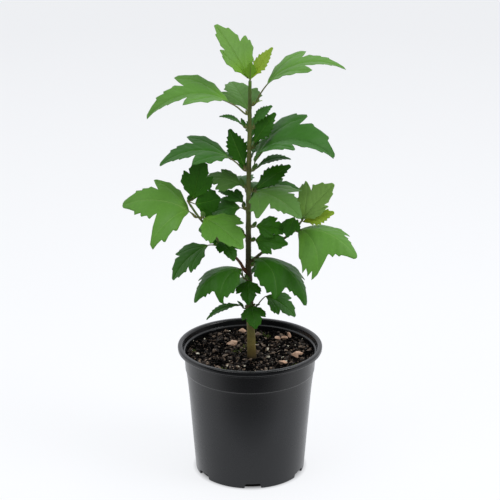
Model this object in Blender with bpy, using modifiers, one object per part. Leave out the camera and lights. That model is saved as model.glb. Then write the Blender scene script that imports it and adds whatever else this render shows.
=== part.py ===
"""Rose of sharon, a young plant in a black nursery pot.

Metres, +Z up. The origin is the centre of the pot's flat underside. Azimuth 0 is +X, the plant's
right as it is looked at along +Y, and 90 is +Y, its far side. Angles in the plan are in degrees.
"""

import math
import random
from dataclasses import dataclass

import bmesh
import bpy
from mathutils import Vector
from mathutils.bvhtree import BVHTree
from mathutils.geometry import delaunay_2d_cdt

NAME = "rose_of_sharon"
SEED = 7
GAP = 0.0003  # between pieces that touch

# Pot: a thin moulded wall under a rolled rim, with drain notches at the foot
RIM_RADIUS = 0.0825
POT_HEIGHT = 0.152
LIP_FOOT = 0.146
LIP_ROUND = 0.0012
LIP_CROWN = 0.0046  # how far in from the rim its top starts to fall away
RIB_FOOT = 0.1425
RIB_STEP = 0.0018  # how far the rib under the lip stands out of the band
BAND_TOP_RADIUS = 0.0752
BAND_FOOT_RADIUS = 0.0738
LEDGE_HEIGHT = 0.1225
LEDGE_ROUND = 0.0004
# The wall's outer radius by height: straight to a soft knee, then flared up to the ledge
WALL_RADII = ((0.0, 0.0628), (0.094, 0.0700), (0.108, 0.0713), (0.1225, 0.0731))
FOOT_RADIUS = 0.0628
WALL = 0.0013
POT_SIDES = 40
NOTCHES = 6
NOTCH_START = 273  # azimuth of the front one
NOTCH_HALF_WIDTH = 0.0092
NOTCH_HEIGHT = 0.006
NOTCH_REACH = 0.012
NOTCH_OVERSHOOT = 0.004

# Potting mix
SOIL_HEIGHT = 0.135  # in the middle
SOIL_RISE = 0.0065  # the edge stands this much over the middle
SOIL_FLAT = 0.012  # radius of the level place that the stem stands on

# Main stem: height above the mix, sideways lean, radius
STEM_TOP = 0.458
STEM_LEAN = ((0.00, 0.0020), (0.15, 0.0006), (0.35, -0.0018), (0.60, -0.0016), (0.85, -0.0004),
             (1.00, 0.0))
STEM_RADIUS = ((0.00, 0.0057), (0.02, 0.0050), (0.07, 0.0048), (0.16, 0.0044), (0.32, 0.0033),
               (0.50, 0.0029), (0.75, 0.0024), (1.00, 0.0018))
STEM_RINGS = 16
SHOOT_RADII = (0.0017, 0.0012)
SHOOT_SEGMENTS = 7
SHOOT_KNEE = 0.003  # it climbs this far against the stem before it turns out

# Leaf forms: one half of the outline, as shares of the blade's length along and across
LOBED = ((0.00, 0.012), (0.10, 0.14), (0.23, 0.31), (0.38, 0.41), (0.56, 0.46), (0.49, 0.18),
         (0.62, 0.21), (0.80, 0.14), (1.00, 0.0))
CLAWED = ((0.00, 0.012), (0.09, 0.16), (0.22, 0.33), (0.42, 0.38), (0.74, 0.38), (0.58, 0.19),
          (0.67, 0.20), (0.82, 0.13), (1.00, 0.0))
BROAD = ((0.00, 0.012), (0.12, 0.15), (0.26, 0.35), (0.42, 0.46), (0.61, 0.42), (0.56, 0.25),
         (0.70, 0.27), (0.86, 0.15), (1.00, 0.0))
SLIM = ((0.00, 0.015), (0.20, 0.09), (0.45, 0.175), (0.66, 0.14), (0.85, 0.07), (1.00, 0.0))
YOUNG = ((0.00, 0.03), (0.40, 0.19), (0.75, 0.12), (1.00, 0.0))
MIDRIB_SHARES = {LOBED: (0.22, 0.42, 0.62, 0.81), CLAWED: (0.22, 0.42, 0.62, 0.81),
                 BROAD: (0.22, 0.42, 0.62, 0.81), SLIM: (0.3, 0.65), YOUNG: (0.5,)}
LOBE_REACH = 0.45  # where a leaf's skew counts in full
THINNEST_BLADE = 0.0007
BLADE_THICKNESS = 1 / 90  # of its length
PETIOLE_RADII = (0.0011, 0.0007)
PETIOLE_SINK = 0.10  # share of the blade's length that the petiole runs on under the midrib
PETIOLE_SAG = 0.06
SPUR_LENGTH = 0.0035
SPUR_RADIUS = 0.0014
SPUR_RISE = (-20, 35)
SPUR_TAPER = 0.8
SPUR_SINK = 0.6  # how far inside the spur's end the petioles start, in its radii

YOUNG_LEAVES = (1, 1, 2)
YOUNG_LENGTH = (0.009, 0.015)
YOUNG_RISE = (25, 60)
YOUNG_TURN = (35, 65)  # away from the mass's first leaf, to either side
YOUNG_ROLL = (-20, 20)
YOUNG_CLEARANCE = 0.0012


@dataclass
class Leaf:
    petiole: float
    rise: float
    blade: float
    pitch: float
    azimuth: float
    bend: float = 50
    roll: float = 0
    width: float = 0.95
    fold: float = 10
    curl: float = 0.4
    form: tuple = LOBED
    skew: float = 0  # how much wider the half on its left is than the plain form, and the other narrower


@dataclass
class Mass:
    limb: str
    place: float  # height on the main stem, or share of a side shoot's length
    leaves: tuple


# Side shoots: height where each leaves the main stem, azimuth, then its run outwards and its height
SHOOTS = {
    "left_shoot": (0.239, 192, ((0.012, 0.254), (0.029, 0.273), (0.041, 0.289), (0.055, 0.306),
                                (0.066, 0.323))),
    "right_shoot": (0.250, -8, ((0.018, 0.265), (0.035, 0.277), (0.050, 0.289), (0.058, 0.300))),
}

FOLIAGE = {
    "crown_tip": Mass("main_stem", 1.0, (
        Leaf(0.005, 50, 0.066, 56, 160, bend=20, roll=-18, width=0.86, form=BROAD, skew=-0.2),
        Leaf(0.003, 75, 0.041, 53, 15, bend=10, roll=40, width=1.1, form=SLIM),
        Leaf(0.002, 60, 0.021, 76, 282, bend=15, width=1.7, form=SLIM),
    )),
    "upper_left": Mass("main_stem", 0.421, (
        Leaf(0.027, 32, 0.090, -10, 188, bend=95, roll=-12, width=0.9, fold=16, curl=0.3),
    )),
    "upper_right": Mass("main_stem", 0.431, (
        Leaf(0.030, 51, 0.086, 10, 3, bend=85, roll=6, width=0.84, fold=9, curl=0.3),
    )),
    "upper_back": Mass("main_stem", 0.420, (
        Leaf(0.007, 42, 0.054, 22, 112, bend=30, form=BROAD),
    )),
    "collar_left": Mass("main_stem", 0.405, (
        Leaf(0.010, 30, 0.026, 20, 183, bend=60, roll=-10, width=1.3, form=SLIM),
    )),
    "collar_right": Mass("main_stem", 0.404, (
        Leaf(0.008, 56, 0.028, 42, 12, bend=50, roll=35, width=1.35, form=SLIM),
    )),
    "collar_low": Mass("main_stem", 0.382, (
        Leaf(0.009, 56, 0.041, 55, 0, bend=15, roll=60, width=1.35, form=SLIM),
        Leaf(0.009, 34, 0.022, 34, -22, bend=20, roll=10, width=1.2, form=SLIM),
    )),
    "mid_left": Mass("main_stem", 0.357, (
        Leaf(0.026, 36, 0.077, -5, 186, bend=85, roll=-14, width=0.9, fold=8, curl=0.3),
        Leaf(0.008, 48, 0.044, 68, 170, bend=10, roll=-70, width=1.4, form=SLIM),
    )),
    "mid_right": Mass("main_stem", 0.357, (
        Leaf(0.013, 58, 0.088, 7, -15, bend=120, roll=15, width=1.0, fold=22, form=BROAD, skew=0.1),
        Leaf(0.009, 20, 0.039, 15, 0, bend=70, roll=8, width=1.3, form=SLIM),
    )),
    "inner_left": Mass("main_stem", 0.337, (
        Leaf(0.009, 25, 0.043, 6, 171, bend=60, roll=-25, width=0.87, fold=5, curl=0.6, form=BROAD),
    )),
    "inner_left_low": Mass("main_stem", 0.311, (
        Leaf(0.011, 50, 0.033, 14, 150, roll=-10, width=0.9),
        Leaf(0.010, 20, 0.036, -14, 176, roll=-30, width=1.1, form=BROAD),
    )),
    "inner_right": Mass("main_stem", 0.333, (
        Leaf(0.009, 18, 0.046, 33, 10, bend=30, roll=35, width=1.4, form=SLIM),
        Leaf(0.011, -2, 0.049, -3, 12, bend=60, roll=12, width=0.7, fold=12, form=BROAD),
        Leaf(0.010, 8, 0.066, -15, -40, bend=60, roll=12, width=1.2, curl=0.6),
    )),
    "left_shoot_tip": Mass("left_shoot", 1.0, (
        Leaf(0.006, 50, 0.050, 76, 30, bend=10, roll=58, width=0.75, form=BROAD),
        Leaf(0.006, 0, 0.029, 8, 15, bend=20, roll=85, width=1.6, fold=5, form=BROAD),
    )),
    "left_shoot_outer": Mass("left_shoot", 0.82, (
        Leaf(0.013, 32, 0.073, 6, 183, bend=90, roll=-35, width=1.24, fold=5, skew=0.28),
    )),
    "left_shoot_front": Mass("left_shoot", 0.80, (
        Leaf(0.006, 20, 0.060, -24, 320, roll=15, curl=0.5, form=BROAD),
    )),
    "left_shoot_low": Mass("left_shoot", 0.55, (
        Leaf(0.012, -12, 0.031, -32, 303, form=BROAD),
    )),
    "left_shoot_hanging": Mass("left_shoot", 0.42, (
        Leaf(0.016, -1, 0.055, -43, 195, bend=60, roll=-15, width=0.88, curl=0.5, form=BROAD),
    )),
    "right_shoot_tip": Mass("right_shoot", 1.0, (
        Leaf(0.005, 70, 0.053, 49, 0, bend=10, roll=50, width=0.9, form=BROAD, skew=0.3),
        Leaf(0.004, 20, 0.036, 20, -10, bend=20, roll=48, width=1.5, form=SLIM),
    )),
    "right_shoot_front": Mass("right_shoot", 0.80, (
        Leaf(0.005, 5, 0.074, -16, -28, bend=90, roll=20, width=1.15, fold=-15, curl=0.6, form=CLAWED,
             skew=-0.3),
    )),
    "right_shoot_inner": Mass("right_shoot", 0.90, (
        Leaf(0.014, 62, 0.024, -58, 232, bend=20, width=1.15, form=BROAD),
    )),
    "lower_left": Mass("main_stem", 0.231, (
        Leaf(0.016, 54, 0.065, -29, 204, bend=110, roll=-15, fold=-15, curl=0.6, form=CLAWED, skew=0.1),
    )),
    "lower_right": Mass("main_stem", 0.2465, (
        Leaf(0.013, 51, 0.079, -33, -31, bend=110, roll=6, fold=-15, curl=0.6, form=CLAWED, skew=-0.1),
    )),
    "lower_front": Mass("main_stem", 0.230, (
        Leaf(0.007, 10, 0.031, -40, 268, width=1.0, form=BROAD),
    )),
    "foot_left": Mass("main_stem", 0.195, (
        Leaf(0.012, 24, 0.042, -20, 193, bend=65, roll=-10, width=0.85, form=SLIM),
    )),
    "foot_front": Mass("main_stem", 0.199, (
        Leaf(0.009, 15, 0.029, -42, 282, bend=60, roll=8, width=1.05, form=BROAD),
    )),
    "foot_right": Mass("main_stem", 0.197, (
        Leaf(0.024, 39, 0.040, -31, -18, roll=14, width=1.05, form=BROAD),
    )),
    "right_inner_high": Mass("main_stem", 0.292, (
        Leaf(0.009, 13, 0.037, -5, -14, roll=50, width=0.75, form=BROAD),
    )),
    "right_inner_low": Mass("main_stem", 0.276, (
        Leaf(0.009, 14, 0.040, 2, -26, bend=40, roll=60, width=0.8, form=BROAD),
    )),
    "left_inner_back": Mass("main_stem", 0.280, (
        Leaf(0.014, 12, 0.045, 0, 162, roll=-55, width=0.8, form=BROAD),
    )),
    "back_right_low": Mass("main_stem", 0.234, (
        Leaf(0.018, 15, 0.068, -20, 62, bend=60, width=0.85),
    )),
    "back_left_foot": Mass("main_stem", 0.208, (
        Leaf(0.016, 25, 0.060, -14, 118, width=0.85),
    )),
    "back_left": Mass("main_stem", 0.330, (
        Leaf(0.014, 20, 0.062, -10, 112, width=0.8),
    )),
    "back_right": Mass("main_stem", 0.322, (
        Leaf(0.014, 20, 0.060, -8, 72, width=0.8),
    )),
    "back_mid_right": Mass("main_stem", 0.370, (
        Leaf(0.012, 25, 0.058, -6, 66, width=0.75),
    )),
    "back_mid_left": Mass("main_stem", 0.358, (
        Leaf(0.012, 25, 0.055, -4, 122, width=0.7),
    )),
    "back_collar": Mass("main_stem", 0.386, (
        Leaf(0.009, 40, 0.038, 25, 80, bend=40, width=1.2, form=SLIM),
    )),
}

COLOURS = {
    "pot": ((0.022, 0.023, 0.026), 0.42),
    "mix": ((0.040, 0.026, 0.017), 0.95),
    "bark": ((0.150, 0.095, 0.048), 0.70),
    "shoot": ((0.140, 0.120, 0.040), 0.60),
    "leaf": ((0.085, 0.210, 0.040), 0.48),
}


# Scene and materials

def clear_scene():
    for item in list(bpy.data.objects):
        bpy.data.objects.remove(item, do_unlink=True)


def new_collection(name):
    found = bpy.data.collections.new(name)
    bpy.context.scene.collection.children.link(found)
    return found


def material(name):
    colour, roughness = COLOURS[name]
    made = bpy.data.materials.new(name)
    made.use_nodes = True
    shader = made.node_tree.nodes["Principled BSDF"]
    shader.inputs["Base Color"].default_value = (*colour, 1.0)
    shader.inputs["Roughness"].default_value = roughness
    shader.inputs["Metallic"].default_value = 0.0
    return made


def add_object(name, mesh, collection, finish):
    made = bpy.data.objects.new(name, mesh)
    made.data.materials.append(finish)
    collection.objects.link(made)
    return made


def baked(source):
    """A mesh of the object as its modifiers leave it, with its loose caps welded."""
    bpy.context.view_layer.update()
    graph = bpy.context.evaluated_depsgraph_get()
    mesh = bpy.data.meshes.new_from_object(source.evaluated_get(graph))
    shape = bmesh.new()
    shape.from_mesh(mesh)
    bmesh.ops.remove_doubles(shape, verts=shape.verts, dist=1e-6)
    bmesh.ops.recalc_face_normals(shape, faces=shape.faces)
    shape.to_mesh(mesh)
    shape.free()
    return mesh


# Curves that the limbs and blades follow

def between(table, share):
    """The value at a share, read along straight runs between the table's rows."""
    for (low, first), (high, second) in zip(table, table[1:]):
        if share <= high:
            return first + (second - first) * (share - low) / (high - low)
    return table[-1][1]


def direction(azimuth, rise):
    turn, lift = math.radians(azimuth), math.radians(rise)
    return Vector((math.cos(turn) * math.cos(lift), math.sin(turn) * math.cos(lift), math.sin(lift)))


def stem_point(height):
    share = (height - SOIL_HEIGHT) / (STEM_TOP - SOIL_HEIGHT)
    return Vector((between(STEM_LEAN, share), 0.0, height)), between(STEM_RADIUS, share)


def smooth_path(points, count):
    """Evenly spread points on a rounded path through the given ones."""
    ends = [2 * points[0] - points[1], *points, 2 * points[-1] - points[-2]]
    path = []
    for step in range(count + 1):
        place = step / count * (len(points) - 1)
        first = min(int(place), len(points) - 2)
        t = place - first
        a, b, c, d = ends[first:first + 4]
        path.append(0.5 * (2 * b + (c - a) * t + (2 * a - 5 * b + 4 * c - d) * t ** 2
                           + (3 * b - a - 3 * c + d) * t ** 3))
    return path


def shoot_path(name):
    """Points along a side shoot, whose leaning foot stands a hair off the main stem."""
    height, azimuth, run = SHOOTS[name]
    foot, radius = stem_point(height)
    outward = direction(azimuth, 0)
    out, level = run[0]
    climb = math.atan2(level - height - SHOOT_KNEE, out - radius)
    start = foot + outward * (radius + GAP + SHOOT_RADII[0] * math.sin(climb))
    turns = [start + Vector((0, 0, SHOOT_KNEE))]
    turns += [Vector((0, 0, level)) + outward * out + Vector((foot.x, 0, 0)) for out, level in run]
    return smooth_path(turns, SHOOT_SEGMENTS)


def limb_place(limb, place):
    """The point, the radius and the upward direction of a limb where a mass leaves it."""
    if limb == "main_stem":
        height = STEM_TOP if place == 1.0 else place
        return (*stem_point(height), Vector((0, 0, 1)))
    path = shoot_path(limb)
    at = place * (len(path) - 1)
    first = min(int(at), len(path) - 2)
    along = (path[first + 1] - path[first]).normalized()
    radius = SHOOT_RADII[0] + (SHOOT_RADII[1] - SHOOT_RADII[0]) * place
    return path[first].lerp(path[first + 1], at - first), radius, along


# Limbs

def tube(name, points, radii, sides, collection, finish):
    """A closed tapering tube of 4, 6 or 8 sides along a path."""
    curve = bpy.data.curves.new(name, "CURVE")
    curve.dimensions = "3D"
    curve.bevel_depth = 1.0
    curve.bevel_resolution = (sides - 4) // 2
    curve.use_fill_caps = True
    spline = curve.splines.new("POLY")
    spline.points.add(len(points) - 1)
    for knot, point, radius in zip(spline.points, points, radii):
        knot.co = (*point, 1.0)
        knot.radius = radius
    guide = bpy.data.objects.new(name + "_guide", curve)
    collection.objects.link(guide)
    mesh = baked(guide)
    bpy.data.objects.remove(guide, do_unlink=True)
    bpy.data.curves.remove(curve)
    return add_object(name, mesh, collection, finish)


def main_stem(collection, finish):
    """The stem from its flat cut on the mix to its tip, with its flare at the foot."""
    shares = [(step / STEM_RINGS) ** 1.5 for step in range(STEM_RINGS + 1)]
    foot = SOIL_HEIGHT + GAP
    heights = [foot + share * (STEM_TOP - foot) for share in shares]
    rings = [stem_point(height) for height in heights]
    rings[0][0].x = rings[1][0].x
    return tube("main_stem", [ring[0] for ring in rings], [ring[1] for ring in rings], 8, collection, finish)


def side_shoot(name, collection, finish):
    path = shoot_path(name)
    last = len(path) - 1
    radii = [SHOOT_RADII[0] + (SHOOT_RADII[1] - SHOOT_RADII[0]) * step / last for step in range(last + 1)]
    return tube(name, path, radii, 6, collection, finish)


# Leaves

class Blade:
    """A leaf's blade: an arched midrib with two halves folded and curled about it."""

    def __init__(self, leaf, base):
        self.leaf = leaf
        self.base = base
        self.ahead = direction(leaf.azimuth, leaf.pitch)
        side = direction(leaf.azimuth + 90, 0)
        normal = self.ahead.cross(side)
        roll = math.radians(leaf.roll)
        self.side = math.cos(roll) * side + math.sin(roll) * normal
        self.normal = math.cos(roll) * normal - math.sin(roll) * side
        self.bend = math.radians(leaf.bend)
        self.radius = leaf.blade / (2 * math.sin(self.bend / 2))

    def point(self, along, across):
        half, turn = self.bend / 2, self.bend * (along - 0.5)
        rib = (self.base + self.radius * (math.sin(turn) + math.sin(half)) * self.ahead
               + self.radius * (math.cos(turn) - math.cos(half)) * self.normal)
        up = math.cos(turn) * self.normal + math.sin(turn) * self.ahead
        fold = math.radians(self.leaf.fold)
        out = self.leaf.width * (across + self.leaf.skew * across ** 2 / LOBE_REACH)
        lift = abs(out) * math.sin(fold) - self.leaf.curl * out ** 2
        return rib + self.leaf.blade * (out * math.cos(fold) * self.side + lift * up)


def blade_outline(form):
    right = list(form)
    left = [(along, -across) for along, across in reversed(form[:-1])]
    return right + left


def blade_object(name, leaf, base, collection, finish):
    """A thin closed blade: its flat outline filled, laid on the blade's surface and thickened."""
    outline = blade_outline(leaf.form)
    flat = [Vector(point) for point in outline]
    count = len(flat)
    edges = [(i, (i + 1) % count) for i in range(count)]
    flat += [Vector((share, 0.0)) for share in MIDRIB_SHARES[leaf.form]]
    points, _, faces, *_ = delaunay_2d_cdt(flat, edges, [list(range(count))], 1, 1e-6)
    surface = Blade(leaf, base)
    mesh = bpy.data.meshes.new(name)
    mesh.from_pydata([surface.point(*point) for point in points], [], [list(face) for face in faces])
    made = add_object(name, mesh, collection, finish)
    thick = made.modifiers.new("thickness", "SOLIDIFY")
    thick.thickness = max(THINNEST_BLADE, leaf.blade * BLADE_THICKNESS)
    thick.offset = 0.0
    made.data = baked(made)
    made.modifiers.clear()
    return made


def leaf_objects(name, leaf, heart, start, collection, finish):
    """A petiole from the spur and the blade that it carries, its base measured from the limb's heart."""
    base = heart + direction(leaf.azimuth, leaf.rise) * leaf.petiole
    surface = Blade(leaf, base)
    span = (base - start).length
    middle = start.lerp(base, 0.5) + Vector((0, 0, PETIOLE_SAG * span))
    path = [start, middle, base, surface.point(PETIOLE_SINK, 0.0)]
    wide, thin = PETIOLE_RADII
    slender = min(1.0, 0.55 + leaf.blade / 0.15)
    radii = [radius * slender for radius in (wide, (wide + thin) / 2, thin, thin * 0.7)]
    tube(name + "_petiole", path, radii, 4, collection, finish)
    blade_object(name + "_blade", leaf, base, collection, finish)


def spur_of(mass):
    """Start, end and direction of the short stem that a mass's petioles leave, and the limb's heart there."""
    point, radius, along = limb_place(mass.limb, mass.place)
    first = mass.leaves[0]
    if mass.place == 1.0:
        return point + along * GAP, point + along * (GAP + SPUR_LENGTH), along, point
    rise = max(SPUR_RISE[0], min(SPUR_RISE[1], first.rise))
    out = direction(first.azimuth, rise)
    flat = (out - along * out.dot(along)).normalized()
    lean = out.dot(along)
    start = point + flat * (radius + GAP + SPUR_RADIUS * abs(lean))
    return start, start + out * SPUR_LENGTH, out, point


def tree_of(item):
    shape = bmesh.new()
    shape.from_mesh(item.data)
    tree = BVHTree.FromBMesh(shape)
    shape.free()
    return tree


def touches(item, trees):
    """Whether the object comes within the young leaves' clearance of any of the trees."""
    for vertex in item.data.vertices:
        for tree in trees:
            if tree.find_nearest(vertex.co, YOUNG_CLEARANCE)[0] is not None:
                return True
    return any(tree_of(item).overlap(tree) for tree in trees)


def young_leaves(name, mass, fork, collection, finish, others):
    """Small young leaves round the spur by a seeded rule, left out where they would touch anything else."""
    chance = random.Random(f"{SEED} {name}")
    first = mass.leaves[0]
    for number in range(chance.choice(YOUNG_LEAVES)):
        side = 1 if number % 2 else -1
        leaf = Leaf(0.0, 0, chance.uniform(*YOUNG_LENGTH), chance.uniform(*YOUNG_RISE),
                    first.azimuth + side * chance.uniform(*YOUNG_TURN), bend=30,
                    roll=chance.uniform(*YOUNG_ROLL), width=1.3, form=YOUNG)
        blade = blade_object(f"{name}_young_{number}", leaf, fork, collection, finish)
        if touches(blade, others):
            bpy.data.objects.remove(blade, do_unlink=True)


class Shape:
    """A mass while it is made: its spur, and the petioles and blades still to be joined to it."""

    def __init__(self, name, mass, parts, finish):
        self.loose = new_collection(name + "_pieces")
        start, end, out, heart = spur_of(mass)
        radii = [SPUR_RADIUS, SPUR_RADIUS * SPUR_TAPER]
        self.spur = tube(name, [start, end], radii, 6, parts, finish)
        self.fork = end - out * SPUR_RADIUS * SPUR_SINK
        for number, leaf in enumerate(mass.leaves):
            leaf_objects(f"{name}_{number}", leaf, heart, self.fork, self.loose, finish)

    def trees(self):
        return [tree_of(piece) for piece in (self.spur, *self.loose.objects)]

    def join(self):
        """One union of the loose pieces with the spur, applied."""
        union = self.spur.modifiers.new("union", "BOOLEAN")
        union.operation = "UNION"
        union.operand_type = "COLLECTION"
        union.collection = self.loose
        union.solver = "EXACT"
        self.spur.data = baked(self.spur)
        self.spur.modifiers.clear()
        for piece in list(self.loose.objects):
            bpy.data.objects.remove(piece, do_unlink=True)
        bpy.data.collections.remove(self.loose)


def foliage(parts, finish, limbs):
    """Every mass of leaves. Young leaves come last, once the places of all the large ones are known."""
    shapes = {name: Shape(name, mass, parts, finish) for name, mass in FOLIAGE.items()}
    trees = {name: shape.trees() for name, shape in shapes.items()}
    for name, shape in shapes.items():
        others = limbs + [tree for other in trees if other != name for tree in trees[other]]
        young_leaves(name, FOLIAGE[name], shape.fork, shape.loose, finish, others)
        trees[name] = shape.trees()
        shape.join()


# Pot and potting mix

def turned(name, profile, collection, finish):
    """A solid turned about the Z axis from a profile that runs down its outer side."""
    mesh = bpy.data.meshes.new(name)
    mesh.from_pydata([(x, 0.0, z) for x, z in profile], [(i, i + 1) for i in range(len(profile) - 1)], [])
    made = add_object(name, mesh, collection, finish)
    screw = made.modifiers.new("turn", "SCREW")
    screw.steps = POT_SIDES
    screw.render_steps = POT_SIDES
    screw.use_merge_vertices = True
    screw.merge_threshold = 1e-5
    return made


def wall_radius(height):
    """Outer radius of the pot's wall below the ledge."""
    return between(WALL_RADII, height)


def pot(parts, cutters, finish):
    knee = [(radius, height) for height, radius in WALL_RADII[1:-1]]
    inside = [
        (0.0, WALL),
        (FOOT_RADIUS - 1.4 * WALL, WALL),
        *[(radius - WALL, height) for radius, height in knee],
        (wall_radius(LEDGE_HEIGHT) - WALL, LEDGE_HEIGHT),
        (BAND_FOOT_RADIUS - WALL, LEDGE_HEIGHT + WALL),
        (BAND_TOP_RADIUS - WALL, LIP_FOOT - LIP_ROUND),
        (BAND_TOP_RADIUS + LEDGE_ROUND, LIP_FOOT - LEDGE_ROUND),
        (RIM_RADIUS - LIP_CROWN - LIP_ROUND, POT_HEIGHT - LIP_ROUND),
        (RIM_RADIUS - LIP_CROWN, POT_HEIGHT),
    ]
    outside = [
        (RIM_RADIUS - LIP_ROUND, POT_HEIGHT),
        (RIM_RADIUS, POT_HEIGHT - LIP_ROUND),
        (RIM_RADIUS, LIP_FOOT + LIP_ROUND),
        (RIM_RADIUS - LIP_ROUND, LIP_FOOT),
        (BAND_TOP_RADIUS + RIB_STEP, LIP_FOOT - LEDGE_ROUND),
        (BAND_TOP_RADIUS + RIB_STEP, RIB_FOOT + LEDGE_ROUND),
        (BAND_TOP_RADIUS, RIB_FOOT),
        (BAND_FOOT_RADIUS, LEDGE_HEIGHT + LEDGE_ROUND),
        (wall_radius(LEDGE_HEIGHT), LEDGE_HEIGHT - LEDGE_ROUND),
        *reversed(knee),
        (wall_radius(LIP_ROUND), LIP_ROUND),
        (FOOT_RADIUS - LIP_ROUND, 0.0),
        (0.0, 0.0),
    ]
    made = turned("nursery_pot", inside + outside, parts, finish)
    for number in range(NOTCHES):
        cutter = notch_cutter(number, cutters)
        cut = made.modifiers.new(f"notch_{number}", "BOOLEAN")
        cut.operation = "DIFFERENCE"
        cut.object = cutter
    return made


def notch_cutter(number, cutters):
    """A block across the foot of the wall, where one drain notch is."""
    azimuth = NOTCH_START + number * 360 / NOTCHES
    bpy.ops.mesh.primitive_cube_add(size=1.0)
    cutter = bpy.context.active_object
    cutter.name = f"notch_cutter_{number}"
    for home in list(cutter.users_collection):
        home.objects.unlink(cutter)
    cutters.objects.link(cutter)
    cutter.scale = (NOTCH_REACH, 2 * NOTCH_HALF_WIDTH, 2 * NOTCH_HEIGHT)
    cutter.rotation_euler.z = math.radians(azimuth)
    cutter.location = direction(azimuth, 0) * (FOOT_RADIUS - NOTCH_REACH / 2 + NOTCH_OVERSHOOT)
    cutter.hide_render = True
    cutter.display_type = "WIRE"
    return cutter


def potting_mix(parts, finish):
    """The mix that fills the pot, a hair clear of its wall and lower in the middle than at its edge."""
    clear = WALL + 2 * GAP
    edge = BAND_TOP_RADIUS - clear
    rise = [(radius, SOIL_HEIGHT + SOIL_RISE * (radius / edge) ** 2) for radius in (0.6 * edge, edge)]
    profile = [
        (0.0, SOIL_HEIGHT),
        (SOIL_FLAT, SOIL_HEIGHT),
        *rise,
        (BAND_FOOT_RADIUS - clear, LEDGE_HEIGHT + WALL + 2 * GAP),
        *[(radius - clear, height) for height, radius in reversed(WALL_RADII[1:])],
        (FOOT_RADIUS - 1.4 * WALL - 2 * GAP, WALL + GAP),
        (0.0, WALL + GAP),
    ]
    return turned("potting_mix", profile, parts, finish)


def build():
    clear_scene()
    parts = new_collection(NAME)
    cutters = new_collection("cutters")
    finishes = {name: material(name) for name in COLOURS}
    pot(parts, cutters, finishes["pot"])
    potting_mix(parts, finishes["mix"])
    limbs = [main_stem(parts, finishes["bark"])]
    limbs += [side_shoot(name, parts, finishes["shoot"]) for name in SHOOTS]
    trees = [tree_of(limb) for limb in limbs]
    foliage(parts, finishes["leaf"], trees)
    for item in parts.objects:
        if item.name not in FOLIAGE:
            item.data.shade_smooth()
            item.data.set_sharp_from_angle(angle=math.radians(40))


build()
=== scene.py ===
"""A young rose of sharon in its nursery pot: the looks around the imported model.

Metres, +Z up. The pot stands on z = 0 and its axis is the Z axis. Azimuth 0 is +X, 90 is +Y, the far
side. Angles in the plan of the leaves are in degrees.
"""

import collections
import math
import random

import bmesh
import bpy
import numpy as np
from mathutils import Euler, Matrix, Vector, noise
from mathutils.geometry import delaunay_2d_cdt


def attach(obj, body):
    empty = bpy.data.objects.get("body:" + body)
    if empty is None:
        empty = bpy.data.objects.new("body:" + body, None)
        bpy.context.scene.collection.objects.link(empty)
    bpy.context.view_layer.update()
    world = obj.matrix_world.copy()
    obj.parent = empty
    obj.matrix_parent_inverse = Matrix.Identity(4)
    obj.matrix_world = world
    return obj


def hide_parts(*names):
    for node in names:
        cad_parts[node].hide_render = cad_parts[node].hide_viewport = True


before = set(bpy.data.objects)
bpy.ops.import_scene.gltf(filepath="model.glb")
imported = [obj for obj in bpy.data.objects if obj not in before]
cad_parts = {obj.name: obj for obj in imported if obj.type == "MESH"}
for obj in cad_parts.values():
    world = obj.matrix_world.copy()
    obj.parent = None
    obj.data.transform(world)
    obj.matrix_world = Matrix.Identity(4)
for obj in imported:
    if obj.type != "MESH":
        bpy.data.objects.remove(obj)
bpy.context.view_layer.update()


# The nursery pot
# A thin pot moulded in one piece of satin black plastic. It has a rolled lip, a band above the ledge
# that stacked pots rest on, and six arched drain notches that leave feet between them.

RIM_RADIUS = 0.0825
POT_HEIGHT = 0.152
LIP_FOOT = 0.146
RIB_FOOT = 0.1425
BAND_TOP_RADIUS = 0.0752
BAND_FOOT_RADIUS = 0.0738
LEDGE_HEIGHT = 0.1225
# The wall's outer radius by height: straight to a soft knee, then flared up to the ledge
WALL_RADII = ((0.0, 0.0628), (0.094, 0.0700), (0.108, 0.0713), (0.1225, 0.0731))
FOOT_RADIUS = 0.0628
WALL = 0.0013
POT_SIDES = 192
NOTCHES = 6
NOTCH_START = 273  # azimuth of the front one
NOTCH_HALF_WIDTH = 0.0092
NOTCH_HEIGHT = 0.0060
NOTCH_ROUND = 0.0030
FOOT_ROUND = 0.0016
POT_BLACK = (7, 8, 10)
POT_PAINTED_REFLECTION = (17, 20, 24)  # the lower wall painted lighter: a painted reflection of the pale floor
POT_FADED = (17, 18, 21)
POT_DUST = (70, 69, 68)


def srgb(red, green, blue):
    """A colour named by its screen values, 0 to 255, as the linear colour that shaders take."""
    shares = [value / 255 for value in (red, green, blue)]
    return (*[x / 12.92 if x <= 0.04045 else ((x + 0.055) / 1.055) ** 2.4 for x in shares], 1.0)


def rounded(corners, steps=5):
    """A profile in which each corner (x, z, reach) becomes a short arc."""
    path = [Vector(corners[0][:2])]
    for before, corner, after in zip(corners, corners[1:], corners[2:]):
        here = Vector(corner[:2])
        back, ahead = Vector(before[:2]) - here, Vector(after[:2]) - here
        reach = min(corner[2], 0.48 * back.length, 0.48 * ahead.length)
        first, last = here + back.normalized() * reach, here + ahead.normalized() * reach
        for step in range(steps + 1):
            t = step / steps
            path.append((1 - t) ** 2 * first + 2 * t * (1 - t) * here + t ** 2 * last)
    return path + [Vector(corners[-1][:2])]


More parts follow.
